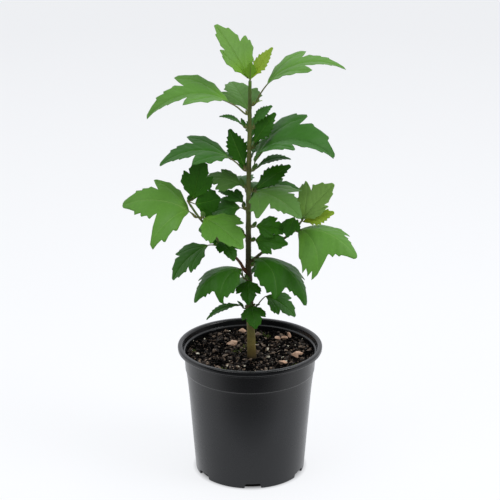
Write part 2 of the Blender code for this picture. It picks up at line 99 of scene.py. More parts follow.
def turned(profile, sides):
    """Points and faces of a closed body turned from a profile that starts and ends on the axis."""
    points, rings = [], []
    for radius, height in profile:
        start = len(points)
        if radius < 1e-7:
            points.append((0.0, 0.0, height))
            rings.append([start] * sides)
            continue
        for side in range(sides):
            turn = math.tau * side / sides
            points.append((radius * math.cos(turn), radius * math.sin(turn), height))
        rings.append(list(range(start, start + sides)))
    faces = []
    for lower, upper in zip(rings, rings[1:]):
        for side in range(sides):
            after = (side + 1) % sides
            corners = [lower[side], lower[after], upper[after], upper[side]]
            faces.append(tuple(dict.fromkeys(corners)))
    return points, faces


def add_piece(name, points, faces, materials, slot, kinds=None, smooth=40):
    """A shown mesh of the plant that rides on its one body."""
    mesh = bpy.data.meshes.new(name)
    mesh.from_pydata([tuple(point) for point in points], [], faces)
    for finish in materials:
        mesh.materials.append(finish)
    if kinds is not None:
        mesh.polygons.foreach_set("material_index", kinds)
    mesh.validate()
    mesh.shade_smooth()
    mesh.set_sharp_from_angle(angle=math.radians(smooth))
    made = bpy.data.objects.new(name, mesh)
    bpy.context.scene.collection.objects.link(made)
    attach(made, "root")
    return made


def face_out(mesh, weld=0.0):
    """Turns a closed body's faces outwards, with points nearer than the weld joined first."""
    shape = bmesh.new()
    shape.from_mesh(mesh)
    if weld:
        bmesh.ops.remove_doubles(shape, verts=shape.verts, dist=weld)
    bmesh.ops.recalc_face_normals(shape, faces=shape.faces)
    shape.to_mesh(mesh)
    shape.free()


class Nodes:
    """A short way to add nodes to a tree and join them."""

    def __init__(self, tree):
        self.tree = tree

    def put(self, value, socket):
        if isinstance(value, bpy.types.NodeSocket):
            self.tree.links.new(value, socket)
        else:
            socket.default_value = value

    def add(self, kind, inputs=None, **settings):
        node = self.tree.nodes.new(kind)
        for key, value in settings.items():
            setattr(node, key, value)
        for key, value in (inputs or {}).items():
            self.put(value, node.inputs[key])
        return node

    def mix(self, share, first, second, blend="MIX"):
        node = self.add("ShaderNodeMix", {0: share}, data_type="RGBA", blend_type=blend)
        self.put(first, node.inputs[6])
        self.put(second, node.inputs[7])
        return node.outputs[2]

    def range(self, value, low, high, to_low=0.0, to_high=1.0):
        return self.add("ShaderNodeMapRange", {0: value, 1: low, 2: high, 3: to_low, 4: to_high}).outputs[0]

    def math(self, operation, first, second):
        return self.add("ShaderNodeMath", {0: first, 1: second}, operation=operation).outputs[0]

    def place(self):
        """Where a point lies in the object, and its x, y and z apart."""
        where = self.add("ShaderNodeTexCoord").outputs["Object"]
        return where, self.add("ShaderNodeSeparateXYZ", {0: where}).outputs


def new_group(name, inputs, outputs):
    """An empty node group with named sockets: {name: (kind, value)} in, {name: kind} out."""
    group = bpy.data.node_groups.new(name, "ShaderNodeTree")
    for label, (kind, value) in inputs.items():
        socket = group.interface.new_socket(label, in_out="INPUT", socket_type="NodeSocket" + kind)
        socket.default_value = value
    for label, kind in outputs.items():
        group.interface.new_socket(label, in_out="OUTPUT", socket_type="NodeSocket" + kind)
    return group, Nodes(group), group.nodes.new("NodeGroupInput"), group.nodes.new("NodeGroupOutput")


def patchy_group():
    """Colour that drifts in large patches and fine flecks, as plastic, bark, mix and leaves all do."""
    group, nodes, given, gives = new_group(
        "patchy",
        {"Colour": ("Color", (0.5, 0.5, 0.5, 1)), "Other": ("Color", (0.3, 0.3, 0.3, 1)),
         "Patch Scale": ("Float", 20.0), "Fleck Scale": ("Float", 300.0), "Amount": ("Float", 0.5)},
        {"Colour": "Color", "Patches": "Float", "Flecks": "Float"})
    where = nodes.add("ShaderNodeTexCoord").outputs["Object"]
    patches = nodes.add("ShaderNodeTexNoise", {"Vector": where, "Scale": given.outputs["Patch Scale"],
                                               "Detail": 3.0, "Roughness": 0.55})
    flecks = nodes.add("ShaderNodeTexNoise", {"Vector": where, "Scale": given.outputs["Fleck Scale"],
                                              "Detail": 2.0, "Roughness": 0.6})
    drift = nodes.range(patches.outputs[0], 0.35, 0.65)
    fine = nodes.range(flecks.outputs[0], 0.35, 0.65)
    both = nodes.math("MULTIPLY", nodes.math("ADD", drift, fine), 0.5)
    share = nodes.math("MULTIPLY", both, given.outputs["Amount"])
    nodes.put(nodes.mix(share, given.outputs["Colour"], given.outputs["Other"]), gives.inputs["Colour"])
    nodes.put(drift, gives.inputs["Patches"])
    nodes.put(fine, gives.inputs["Flecks"])
    return group


def grain_group():
    """Fine height for a bump: noise with its own scale along each axis."""
    group, nodes, given, gives = new_group(
        "grain", {"Scale": ("Float", 400.0), "Stretch": ("Vector", (1, 1, 1))}, {"Height": "Float"})
    where = nodes.add("ShaderNodeTexCoord").outputs["Object"]
    drawn = nodes.add("ShaderNodeVectorMath", {0: where, 1: given.outputs["Stretch"]}, operation="MULTIPLY")
    rough = nodes.add("ShaderNodeTexNoise", {"Vector": drawn.outputs[0], "Scale": given.outputs["Scale"],
                                             "Detail": 4.0, "Roughness": 0.6})
    nodes.put(rough.outputs[0], gives.inputs["Height"])
    return group


patchy = patchy_group()
grain = grain_group()


def finish_of(name, colour, other, scales, amount, bump=None, stretch=(1.0, 1.0, 1.0), roughness=0.6,
              specular=0.5, **constant):
    """A new material of patchy colour with fine grain in its surface.

    The scales are those of its patches, its flecks and its grain. Gives back the material, its shader,
    a Nodes helper for its tree and the node that mixes its colour.
    """
    made = bpy.data.materials.new(name)
    made.use_nodes = True
    shader = made.node_tree.nodes["Principled BSDF"]
    nodes = Nodes(made.node_tree)
    shader.inputs["Roughness"].default_value = roughness
    shader.inputs["Specular IOR Level"].default_value = specular
    for key, value in constant.items():
        shader.inputs[key.replace("_", " ")].default_value = value
    body = nodes.add("ShaderNodeGroup", {
        "Colour": srgb(*colour), "Other": srgb(*other), "Patch Scale": scales[0], "Fleck Scale": scales[1],
        "Amount": amount}, node_tree=patchy)
    nodes.put(body.outputs["Colour"], shader.inputs["Base Color"])
    if bump:
        fine = nodes.add("ShaderNodeGroup", {"Scale": scales[2], "Stretch": stretch}, node_tree=grain)
        raised = nodes.add("ShaderNodeBump", {"Height": fine.outputs["Height"], "Strength": bump[0],
                                              "Distance": bump[1]})
        nodes.put(raised.outputs[0], shader.inputs["Normal"])
    return made, shader, nodes, body


def pot_plastic():
    made, shader, nodes, body = finish_of(
        "pot_plastic", POT_BLACK, POT_FADED, (22.0, 900.0, 700.0), 0.6, (0.12, 0.0004), specular=0.42,
        Sheen_Weight=0.05, Sheen_Roughness=0.35, Sheen_Tint=(0.86, 0.92, 1.0, 1.0))
    # Below the knee the wall is painted lighter, a painted reflection of the pale floor in the plastic
    low = nodes.range(nodes.place()[1][2], 0.115, 0.080)
    nodes.put(nodes.mix(low, srgb(*POT_BLACK), srgb(*POT_PAINTED_REFLECTION)), body.inputs["Colour"])
    normal = nodes.add("ShaderNodeNewGeometry").outputs["Normal"]
    upward = nodes.add("ShaderNodeSeparateXYZ", {0: normal}).outputs[2]
    speckle = nodes.add("ShaderNodeTexNoise", {"Scale": 160.0, "Detail": 5.0})
    dust = nodes.math("MULTIPLY", nodes.range(upward, 0.55, 1.0, 0.0, 0.25),
                      nodes.range(speckle.outputs[0], 0.48, 0.72))
    nodes.put(nodes.mix(dust, body.outputs["Colour"], srgb(*POT_DUST)), shader.inputs["Base Color"])
    nodes.put(nodes.range(body.outputs["Patches"], 0.0, 1.0, 0.24, 0.31), shader.inputs["Roughness"])
    return made


def between(table, share):
    """The value at a share, read along straight runs between the table's rows."""
    for (low, first), (high, second) in zip(table, table[1:]):
        if share <= high:
            return first + (second - first) * (share - low) / (high - low)
    return table[-1][1]


def wall_radius(height):
    return between(WALL_RADII, height)


def pot_profile():
    """Corners (radius, height, rounding) from the floor's middle, up the inside and down the outside."""
    inside = [(wall_radius(height) - WALL, height, 0.012) for height, _ in WALL_RADII[1:-1]]
    outside = [(wall_radius(height), height, 0.012) for height, _ in reversed(WALL_RADII[1:-1])]
    return [
        (0.0, WALL, 0),
        (FOOT_RADIUS - 2.2 * WALL, WALL, 0.002),
        *inside,
        (wall_radius(LEDGE_HEIGHT) - WALL, LEDGE_HEIGHT, 0.001),
        (BAND_FOOT_RADIUS - WALL, LEDGE_HEIGHT + WALL, 0.001),
        (BAND_TOP_RADIUS - WALL, LIP_FOOT - 0.0014, 0.0004),
        (BAND_TOP_RADIUS + 0.0004, LIP_FOOT - 0.0006, 0.0004),
        (RIM_RADIUS - 0.0058, POT_HEIGHT - 0.0014, 0.0014),
        (RIM_RADIUS - 0.0046, POT_HEIGHT, 0.0012),
        (RIM_RADIUS, POT_HEIGHT, 0.0030),
        (RIM_RADIUS - 0.0004, LIP_FOOT, 0.0018),
        (BAND_TOP_RADIUS + 0.0026, LIP_FOOT + 0.0004, 0.0005),
        (BAND_TOP_RADIUS + 0.0018, LIP_FOOT - 0.0008, 0.0004),
        (BAND_TOP_RADIUS + 0.0018, RIB_FOOT + 0.0004, 0.0006),
        (BAND_TOP_RADIUS, RIB_FOOT, 0.0004),
        (BAND_FOOT_RADIUS, LEDGE_HEIGHT + 0.0006, 0.0006),
        (wall_radius(LEDGE_HEIGHT), LEDGE_HEIGHT - 0.0002, 0.0006),
        *outside,
        (wall_radius(0.002), 0.002, 0.001),
        (FOOT_RADIUS - 0.0004, 0.0, 0.0011),
        (FOOT_RADIUS - 0.0060, 0.0, 0.0004),
        (FOOT_RADIUS - 0.0070, 0.0005, 0.0004),
        (0.0110, 0.0005, 0.0004),
        (0.0100, 0.0, 0.0004),
        (0.0, 0.0, 0),
    ]


def notch_cutters():
    """One mesh of six arched blocks, each across the foot of the wall."""
    half, high, curve, toe = NOTCH_HALF_WIDTH, NOTCH_HEIGHT, NOTCH_ROUND, FOOT_ROUND
    arch = rounded([(-half - 3 * toe, -0.002, 0), (-half - 3 * toe, 0.0, 0), (-half, 0.0, 3 * toe),
                    (-half, high, curve), (half, high, curve), (half, 0.0, 3 * toe),
                    (half + 3 * toe, 0.0, 0), (half + 3 * toe, -0.002, 0)], 6)
    count = len(arch)
    points, faces = [], []
    for number in range(NOTCHES):
        turn = Matrix.Rotation(math.radians(NOTCH_START + number * 360 / NOTCHES), 3, "Z")
        start = len(points)
        for depth in (FOOT_RADIUS - 0.0105, FOOT_RADIUS + 0.006):
            points += [turn @ Vector((depth, across, height)) for across, height in arch]
        faces.append([start + i for i in range(count)])
        faces.append([start + count + i for i in reversed(range(count))])
        for i in range(count):
            after = (i + 1) % count
            faces.append([start + i, start + count + i, start + count + after, start + after])
    mesh = bpy.data.meshes.new("notch_cutters")
    mesh.from_pydata([tuple(point) for point in points], [], faces)
    made = bpy.data.objects.new("notch_cutters", mesh)
    bpy.context.scene.collection.objects.link(made)
    face_out(mesh, weld=1e-6)
    return made


def applied(made):
    """Replaces an object's mesh by what its modifiers make of it."""
    bpy.context.view_layer.update()
    seen = made.evaluated_get(bpy.context.evaluated_depsgraph_get())
    made.data = bpy.data.meshes.new_from_object(seen)
    made.modifiers.clear()


pot = add_piece("pot", *turned(rounded(pot_profile()), POT_SIDES), [pot_plastic()], "pot")
face_out(pot.data)
cutters = notch_cutters()
notched = pot.modifiers.new("notches", "BOOLEAN")
notched.operation = "DIFFERENCE"
notched.solver = "EXACT"
notched.object = cutters
applied(pot)
bpy.data.objects.remove(cutters, do_unlink=True)
pot.data.shade_smooth()
pot.data.set_sharp_from_angle(angle=math.radians(35))
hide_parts("nursery_pot")


# The potting mix
# Dark composted bark and peat that fills the pot to a finger's breadth under the lip. It lies as a
# crumbly bed with loose crumbs, fibres, pale bark chips, white perlite and specks of moss on it.

MIX_HEIGHT = 0.135  # in its middle
MIX_RISE = 0.0065  # its edge stands this much over its middle
MIX_RADIUS = BAND_TOP_RADIUS - WALL - 0.0004
MIX_RINGS = 64
MIX_SIDES = 220
CRUMBS = 2600
FIBRES = 90
GRAINS = 60
STEM_CLEAR = 0.0062
MIX_SEED = 11
# Name, tone and shine of the loose crumbs
MIX_TONES = (("mix_black", (5, 4, 4), 0.05), ("mix_brown", (25, 20, 16), 0.3),
             ("mix_umber", (66, 55, 45), 0.45))
# Pale chips: x and y in millimetres, length, width, thickness, heading
CHIPS = ((-9, 63, 12, 10, 7, 15), (-20, 32, 17, 13, 8, 10), (30, 42, 15, 11, 7, 12), (40, 43, 11, 7, 6, 170),
         (46, 49, 10, 6, 7, 120), (54, -9, 19, 14, 9, 35), (36, -29, 15, 11, 7, 170))
# White grains that show one by one: x and y in millimetres, size
PERLITE = ((-33, 46, 2.8), (-53, 40, 2.8), (-66, 33, 2.0), (-60, -1, 3.8), (-67, 6, 2.6), (-27, 4, 2.2),
           (-26, -30, 3.4), (-13, -30, 2.8), (-6, -30, 3.2), (20, 21, 4.6), (21, -3, 4.8), (36, 10, 3),
           (44, 23, 3.0), (38, -5, 2.8), (41, -17, 3.0), (53, 27, 2.6), (61, 38, 2.4), (70, 12, 2.2),
           (9, 31, 3.0), (19, -40, 2.6), (-24, 66, 2.0), (-44, -34, 2.4), (60, -26, 2.2))
MOSS = ((-9, 26), (-14, 19), (18, 58), (9, 37), (-18, 14), (-5, 29), (14, 63), (22, 52), (-64, 6), (50, -30),
        (-30, -40))


def mix_height(x, y):
    """The bed's own surface: a shallow hollow round the stem, with lumps and pits."""
    dome = MIX_HEIGHT + MIX_RISE * (x * x + y * y) / MIX_RADIUS ** 2 - 0.0004
    lumps = 0.0016 * noise.noise(Vector((x, y, 0.3)) * 95)
    return dome + lumps + 0.0008 * noise.noise(Vector((x, y, 0.7)) * 420)


def mix_finish(name, dark, light, patch, fleck, bump, shine=0.25):
    return finish_of(name, dark, light, (patch, fleck, fleck), 0.9, (0.6, bump), roughness=0.93 - 0.8 * shine,
                     specular=shine)[0]


def mix_bed():
    """The closed body of the mix, with its bumpy top."""
    radii = [MIX_RADIUS * ring / MIX_RINGS for ring in range(MIX_RINGS + 1)]
    top = [(radius, MIX_HEIGHT) for radius in radii]
    clear = WALL + 0.0003
    sides = [(BAND_FOOT_RADIUS - clear, LEDGE_HEIGHT + 2 * WALL)]
    sides += [(radius - clear, height) for height, radius in reversed(WALL_RADII[1:])]
    sides += [(FOOT_RADIUS - 2.4 * WALL, WALL + 0.0002), (0.0, WALL + 0.0002)]
    points, faces = turned(top + sides, MIX_SIDES)
    raised = [(x, y, mix_height(x, y)) if z == MIX_HEIGHT else (x, y, z) for x, y, z in points]
    return raised, faces


def lump_shape(chance, corners):
    """A small angular body: the hull of points spread over a ball."""
    shape = bmesh.new()
    for _ in range(corners):
        spot = Vector([chance.gauss(0, 1) for _ in range(3)]).normalized()
        shape.verts.new(spot * chance.uniform(0.75, 1.0))
    hull = bmesh.ops.convex_hull(shape, input=shape.verts)
    bmesh.ops.delete(shape, geom=[item for item in hull["geom_interior"] if item.is_valid], context="VERTS")
    bmesh.ops.recalc_face_normals(shape, faces=shape.faces)
    shape.verts.index_update()
    made = ([vert.co.copy() for vert in shape.verts], [[v.index for v in face.verts] for face in shape.faces])
    shape.free()
    return made


class Heap:
    """Points and faces of many small things that become one joined piece."""

    def __init__(self):
        self.points, self.faces = [], []

    def add(self, points, faces, place=None):
        start = len(self.points)
        self.points += [place @ point for point in points] if place else list(points)
        self.faces += [[start + corner for corner in face] for face in faces]

    def piece(self, name, finish, slot="mix", smooth=40):
        return add_piece(name, self.points, self.faces, [finish], slot, smooth=smooth)


def laid(x, y, size, turn, chance, tilt=0.5, sunk=0.25):
    """Where a loose bit lies on the mix: its turn, its tilt and how far it has sunk in."""
    height = mix_height(x, y) + size[2] * (0.5 - sunk)
    spin = Euler((chance.uniform(-tilt, tilt), chance.uniform(-tilt, tilt), turn))
    return Matrix.LocRotScale(Vector((x, y, height)), spin, Vector(size) / 2)


def loose_spots(count, chance, inner=STEM_CLEAR, outer=MIX_RADIUS - 0.0022):
    for _ in range(count):
        radius = math.sqrt(chance.uniform(inner ** 2, outer ** 2))
        turn = chance.uniform(0, math.tau)
        yield radius * math.cos(turn), radius * math.sin(turn)


def tube_mesh(path, radii, sides):
    """Points and faces of a closed round tube along a path."""
    points, faces = [], []
    side = None
    for number, (here, radius) in enumerate(zip(path, radii)):
        ahead = (path[min(number + 1, len(path) - 1)] - path[max(number - 1, 0)]).normalized()
        side = ahead.orthogonal() if side is None else side - ahead * side.dot(ahead)
        side.normalize()
        up = ahead.cross(side)
        for step in range(sides):
            turn = math.tau * step / sides
            points.append(here + radius * (math.cos(turn) * side + math.sin(turn) * up))
    for ring in range(len(path) - 1):
        for step in range(sides):
            after = (step + 1) % sides
            low, high = ring * sides, (ring + 1) * sides
            faces.append([low + step, low + after, high + after, high + step])
    faces.append([step for step in reversed(range(sides))])
    faces.append([(len(path) - 1) * sides + step for step in range(sides)])
    return points, faces


chance = random.Random(MIX_SEED)
bed = add_piece("mix_bed", *mix_bed(),
                [mix_finish("mix_bed", (3, 2, 2), (10, 8, 6), 300.0, 1200.0, 0.0006, 0.04)], "mix")
face_out(bed.data)
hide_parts("potting_mix")

lumps = [lump_shape(chance, corners) for corners in (7, 8, 9, 10, 12, 14)]
for number, (name, tone, shine) in enumerate(MIX_TONES):
    heap = Heap()
    for x, y in loose_spots(CRUMBS // (number + 1), chance):
        long = chance.uniform(0.0014, 0.0040) * chance.choice((0.7, 1.0, 1.5, 2.4))
        size = (long, long * chance.uniform(0.35, 0.8), long * chance.uniform(0.3, 0.6))
        heap.add(*chance.choice(lumps), laid(x, y, size, chance.uniform(0, math.tau), chance))
    lighter = tuple(value * 2.0 for value in tone)
    heap.piece(name + "_crumbs", mix_finish(name, tone, lighter, 500.0, 1800.0, 0.0003, shine), smooth=30)

heap = Heap()
for x, y in loose_spots(FIBRES, chance, inner=0.009, outer=MIX_RADIUS - 0.010):
    long, turn = chance.uniform(0.006, 0.016), chance.uniform(0, math.tau)
    ahead, bow = Vector((math.cos(turn), math.sin(turn), 0)), chance.uniform(-0.15, 0.15)
    side = Vector((-ahead.y, ahead.x, 0))
    spots = [Vector((x, y, 0)) + long * ((t - 0.5) * ahead + bow * (1 - (2 * t - 1) ** 2) * side)
             for t in (0, 0.25, 0.5, 0.75, 1)]
    lift = chance.uniform(0.0002, 0.0012)
    path = [Vector((spot.x, spot.y, mix_height(spot.x, spot.y) + lift)) for spot in spots]
    wide = chance.uniform(0.0002, 0.0006)
    heap.add(*tube_mesh(path, [wide * 0.7, wide, wide, wide * 0.9, wide * 0.5], 5))
heap.piece("mix_fibres", mix_finish("mix_fibre", (48, 37, 29), (84, 64, 50), 200.0, 1500.0, 0.0002))

heap = Heap()
for x, y, long, wide, thick, heading in CHIPS:
    size = (long / 1000, wide / 1000, thick / 1000)
    heap.add(*lump_shape(chance, 11),
             laid(x / 1000, y / 1000, size, math.radians(heading), chance, 0.3, 0.05))
chips = heap.piece(
    "mix_chips", mix_finish("mix_chip", (214, 182, 158), (172, 134, 108), 220.0, 900.0, 0.0005), smooth=25)
edges = chips.modifiers.new("worn_edges", "BEVEL")
edges.width = 0.0004
edges.segments = 2

heap = Heap()
grains = [(x / 1000, y / 1000, size / 1000) for x, y, size in PERLITE]
grains += [(x, y, chance.uniform(0.0009, 0.0019)) for x, y in loose_spots(GRAINS, chance)]
for x, y, wide in grains:
    size = (wide * chance.uniform(1.1, 1.5), wide * 1.1, wide * chance.uniform(0.8, 1.0))
    heap.add(*lump_shape(chance, 12), laid(x, y, size, chance.uniform(0, math.tau), chance, 0.3, 0.1))
heap.piece("mix_perlite", mix_finish("mix_perlite", (224, 219, 203), (164, 155, 128), 700.0, 2500.0, 0.0003),
           smooth=60)

heap = Heap()
for x, y in MOSS:
    for _ in range(16):
        spot = Vector((x / 1000 + chance.gauss(0, 0.0016), y / 1000 + chance.gauss(0, 0.0016), 0))
        spot.z = mix_height(spot.x, spot.y)
        lean = Vector((chance.uniform(-1, 1), chance.uniform(-1, 1), 1.1)).normalized()
        long = chance.uniform(0.0012, 0.0028)
        path = [spot, spot + lean * long * 0.6, spot + lean * long + Vector((0, 0, -0.0002))]
        heap.add(*tube_mesh(path, [0.00035, 0.0003, 0.0001], 4))
heap.piece("mix_moss", mix_finish("mix_moss", (66, 84, 26), (96, 112, 40), 400.0, 1500.0, 0.0002))


# The main stem
# One young upright stem of live wood under thin smooth bark: tan and flared where it leaves the mix,
# reddish brown in the middle and green at its tip, swollen a little at each place where a leaf stands.

STEM_TOP = 0.458
STEM_LEAN = ((0.00, 0.0020), (0.15, 0.0006), (0.35, -0.0018), (0.60, -0.0016), (0.85, -0.0004),
             (1.00, 0.0))
STEM_RADIUS = ((0.00, 0.0057), (0.02, 0.0050), (0.07, 0.0048), (0.16, 0.0044), (0.32, 0.0033),
               (0.50, 0.0029), (0.75, 0.0024), (1.00, 0.0018))
STEM_NODES = (0.195, 0.198, 0.208, 0.230, 0.234, 0.246, 0.276, 0.280, 0.292, 0.311, 0.322, 0.333, 0.357,
              0.370, 0.384, 0.404, 0.420, 0.431)
NODE_SWELL = 0.14  # of the stem's radius, where a mass leaves it
NODE_LENGTH = 0.0024
STEM_RINGS = 420
STEM_SIDES = 28
SHOOT_SIDES = 20
# Bark by height: where each colour is full. The dark brown first stop, at the foot, is painted shade where
# the stem enters the mix
STEM_COLOURS = (
    (0.135, (36, 26, 12)), (0.141, (96, 82, 42)), (0.152, (132, 120, 64)), (0.170, (122, 118, 62)),
    (0.210, (84, 90, 44)), (0.238, (62, 54, 24)), (0.266, (60, 66, 26)), (0.300, (78, 86, 32)),
    (0.333, (98, 112, 52)), (0.362, (92, 96, 46)), (0.392, (108, 120, 58)), (0.437, (74, 88, 36)),
    (0.456, (84, 120, 36)))


def stem_point(height):
    share = (height - MIX_HEIGHT) / (STEM_TOP - MIX_HEIGHT)
    return Vector((between(STEM_LEAN, share), 0.0, height)), between(STEM_RADIUS, share)


def relief(spot, radius, swell):
    """How far bark stands in or out: long wrinkles, fine warts and swollen nodes."""
    wrinkles = 0.035 * noise.noise(Vector((spot.x * 900, spot.y * 900, spot.z * 70)))
    warts = max(0.0, noise.noise(Vector((spot.x * 1300, spot.y * 1300, spot.z * 700))) - 0.35) * 0.22
    return radius * (1 + wrinkles + warts + swell)


def barked(path, radii, swells, sides):
    """A tube with the bark's relief in its mesh."""
    points, faces = tube_mesh(path, radii, sides)
    for number, point in enumerate(points):
        ring = number // sides
        out = point - path[ring]
        points[number] = path[ring] + out.normalized() * relief(point, radii[ring], swells[ring])
    return points, faces


def bark_finish(name, colours):
    """Bark whose colour changes with height."""
    made, shader, nodes, body = finish_of(name, colours[0][1], colours[-1][1], (140.0, 1100.0, 520.0), 0.75,
                                          (0.5, 0.0004), stretch=(1.0, 1.0, 0.16), specular=0.35)
    where, (_, _, height) = nodes.place()
    low, high = colours[0][0], colours[-1][0]
    ramp = nodes.add("ShaderNodeValToRGB", {0: nodes.range(height, low, high)})
    stops = ramp.color_ramp.elements
    while len(stops) < len(colours):
        stops.new(0.5)
    for stop, (level, tone) in zip(stops, colours):
        stop.position = (level - low) / (high - low)
        stop.color = srgb(*tone)
    nodes.put(ramp.outputs[0], body.inputs["Colour"])
    nodes.put(nodes.mix(1.0, ramp.outputs[0], (0.52, 0.45, 0.42, 1), "MULTIPLY"), body.inputs["Other"])
    drawn = nodes.add("ShaderNodeVectorMath", {0: where, 1: (1.0, 1.0, 0.45)}, operation="MULTIPLY")
    pores = nodes.add("ShaderNodeTexVoronoi", {"Vector": drawn.outputs[0], "Scale": 620.0})
    spots = nodes.range(pores.outputs["Distance"], 0.10, 0.24, 0.65, 0.0)
    lighter = nodes.mix(1.0, ramp.outputs[0], (1.5, 1.45, 1.35, 1), "MULTIPLY")
    nodes.put(nodes.mix(spots, body.outputs["Colour"], lighter), shader.inputs["Base Color"])
    nodes.put(nodes.range(body.outputs["Flecks"], 0.0, 1.0, 0.52, 0.68), shader.inputs["Roughness"])
    return made


heights = [MIX_HEIGHT - 0.001 + (STEM_TOP + 0.001 - MIX_HEIGHT) * ring / STEM_RINGS
           for ring in range(STEM_RINGS + 1)]
centres, radii = map(list, zip(*map(stem_point, heights)))
swells = [min(0.22, NODE_SWELL * sum(math.exp(-((height - node) / NODE_LENGTH) ** 2) for node in STEM_NODES))
          for height in heights]
stem = add_piece("stem", *barked(centres, radii, swells, STEM_SIDES),
                 [bark_finish("stem_bark", STEM_COLOURS)], "bark", smooth=60)
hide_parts("main_stem")


# The side shoots
# Two young shoots of this year, one to each side. Each climbs a little way against the stem, then
# leans out, and turns from red-brown to green towards its tip.

SHOOT_RADII = (0.0017, 0.0012)
SHOOT_SEGMENTS = 7
SHOOT_KNEE = 0.003
GAP = 0.0003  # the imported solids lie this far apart
# Height where each leaves the main stem, azimuth, then its run outwards and its height
SHOOTS = {
    "left_shoot": (0.239, 192, ((0.012, 0.254), (0.029, 0.273), (0.041, 0.289), (0.055, 0.306),
                                (0.066, 0.323))),
    "right_shoot": (0.250, -8, ((0.018, 0.265), (0.035, 0.277), (0.050, 0.289), (0.058, 0.300))),
}
SHOOT_COLOURS = {
    "left_shoot": ((0.239, (96, 56, 36)), (0.262, (96, 72, 42)), (0.290, (88, 92, 48)),
                   (0.325, (86, 112, 48))),
    "right_shoot": ((0.250, (78, 76, 42)), (0.275, (82, 86, 46)), (0.290, (86, 100, 48)),
                    (0.302, (90, 116, 50))),
}


def direction(azimuth, rise):
    turn, lift = math.radians(azimuth), math.radians(rise)
    return Vector((math.cos(turn) * math.cos(lift), math.sin(turn) * math.cos(lift), math.sin(lift)))


def smooth_path(points, count):
    """Evenly spread points on a rounded path through the given ones."""
    ends = [2 * points[0] - points[1], *points, 2 * points[-1] - points[-2]]
    path = []
    for step in range(count + 1):
        place = step / count * (len(points) - 1)
        first = min(int(place), len(points) - 2)
        t = place - first
        a, b, c, d = ends[first:first + 4]
        path.append(0.5 * (2 * b + (c - a) * t + (2 * a - 5 * b + 4 * c - d) * t ** 2
                           + (3 * b - a - 3 * c + d) * t ** 3))
    return path


def shoot_path(name, count=SHOOT_SEGMENTS):
    height, azimuth, run = SHOOTS[name]
    foot, radius = stem_point(height)
    outward = direction(azimuth, 0)
    out, level = run[0]
    climb = math.atan2(level - height - SHOOT_KNEE, out - radius)
    start = foot + outward * (radius + GAP + SHOOT_RADII[0] * math.sin(climb))
    turns = [start + Vector((0, 0, SHOOT_KNEE))]
    turns += [Vector((0, 0, level)) + outward * out + Vector((foot.x, 0, 0)) for out, level in run]
    return smooth_path(turns, count)


for name, (height, azimuth, _) in SHOOTS.items():
    foot = stem_point(height - 0.002)[0]
    path = [foot, foot.lerp(shoot_path(name, 90)[0], 0.6)] + shoot_path(name, 90)
    last = len(path) - 1
    radii = [SHOOT_RADII[0] + (SHOOT_RADII[1] - SHOOT_RADII[0]) * step / last for step in range(last + 1)]
    swells = [0.35 * math.exp(-step / 6) + 0.10 * max(0, math.cos(step * 0.42)) ** 8
              for step in range(last + 1)]
    shoot = add_piece(name + "_wood", *barked(path, radii, swells, SHOOT_SIDES),
                      [bark_finish(name + "_bark", SHOOT_COLOURS[name])], "shoot", smooth=60)
    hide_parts(name)


# The leaves
# Each stands on its own stalk: a wedge at the base, three lobes or one slim one, coarse blunt teeth,
# a sunk midrib and side veins. They grow singly up the stem and shoots, with young ones beside them.

SEED = 7
LOBED = ((0.00, 0.012), (0.10, 0.14), (0.23, 0.31), (0.38, 0.41), (0.56, 0.46), (0.49, 0.18),
         (0.62, 0.21), (0.80, 0.14), (1.00, 0.0))
CLAWED = ((0.00, 0.012), (0.09, 0.16), (0.22, 0.33), (0.42, 0.38), (0.74, 0.38), (0.58, 0.19),
          (0.67, 0.20), (0.82, 0.13), (1.00, 0.0))
BROAD = ((0.00, 0.012), (0.12, 0.15), (0.26, 0.35), (0.42, 0.46), (0.61, 0.42), (0.56, 0.25),
         (0.70, 0.27), (0.86, 0.15), (1.00, 0.0))
SLIM = ((0.00, 0.015), (0.20, 0.09), (0.45, 0.175), (0.66, 0.14), (0.85, 0.07), (1.00, 0.0))
YOUNG = ((0.00, 0.03), (0.40, 0.19), (0.75, 0.12), (1.00, 0.0))
# Teeth on each run of a form's half outline, and the ends of its side veins
TEETH = {LOBED: (0, 1, 1, 1, 0, 1, 2, 1), CLAWED: (0, 1, 1, 2, 1, 1, 2, 1),
         BROAD: (0, 1, 1, 2, 0, 1, 1, 1), SLIM: (0, 2, 2, 2, 1), YOUNG: (1, 2, 1)}
LOBE_TIPS = {LOBED: (0.53, 0.42), CLAWED: (0.70, 0.36), BROAD: (0.58, 0.38)}
SIDE_VEINS = {
    LOBED: (((0.34, 0.0), (0.47, 0.15)), ((0.47, 0.0), (0.60, 0.18)), ((0.60, 0.0), (0.71, 0.15)),
            ((0.72, 0.0), (0.82, 0.10)), ((0.17, 0.10), (0.25, 0.26)), ((0.27, 0.19), (0.36, 0.38)),
            ((0.37, 0.28), (0.45, 0.43)), ((0.34, 0.26), (0.47, 0.25)), ((0.42, 0.33), (0.52, 0.33))),
    SLIM: (((0.16, 0.0), (0.32, 0.10)), ((0.30, 0.0), (0.46, 0.15)), ((0.44, 0.0), (0.60, 0.13)),
           ((0.58, 0.0), (0.72, 0.10)), ((0.72, 0.0), (0.84, 0.06))),
    YOUNG: (((0.25, 0.0), (0.45, 0.15)), ((0.50, 0.0), (0.68, 0.12))),
}
SIDE_VEINS[CLAWED] = SIDE_VEINS[BROAD] = SIDE_VEINS[LOBED]
MESH_SPACING = {LOBED: 0.026, CLAWED: 0.026, BROAD: 0.026, SLIM: 0.030, YOUNG: 0.060}
LOBE_REACH = 0.45  # where a leaf's skew counts in full
BLADE_THICKNESS = 0.00034
RIB_HALF_WIDTH = 0.011  # of the blade's length, at the base
LOBE_RIB_HALF_WIDTH = 0.006
RIB_TAPER = 0.75
GROOVE = 0.0055  # depth of the sunk midrib, as a share of the blade's length
VEIN_GROOVE = 0.0030
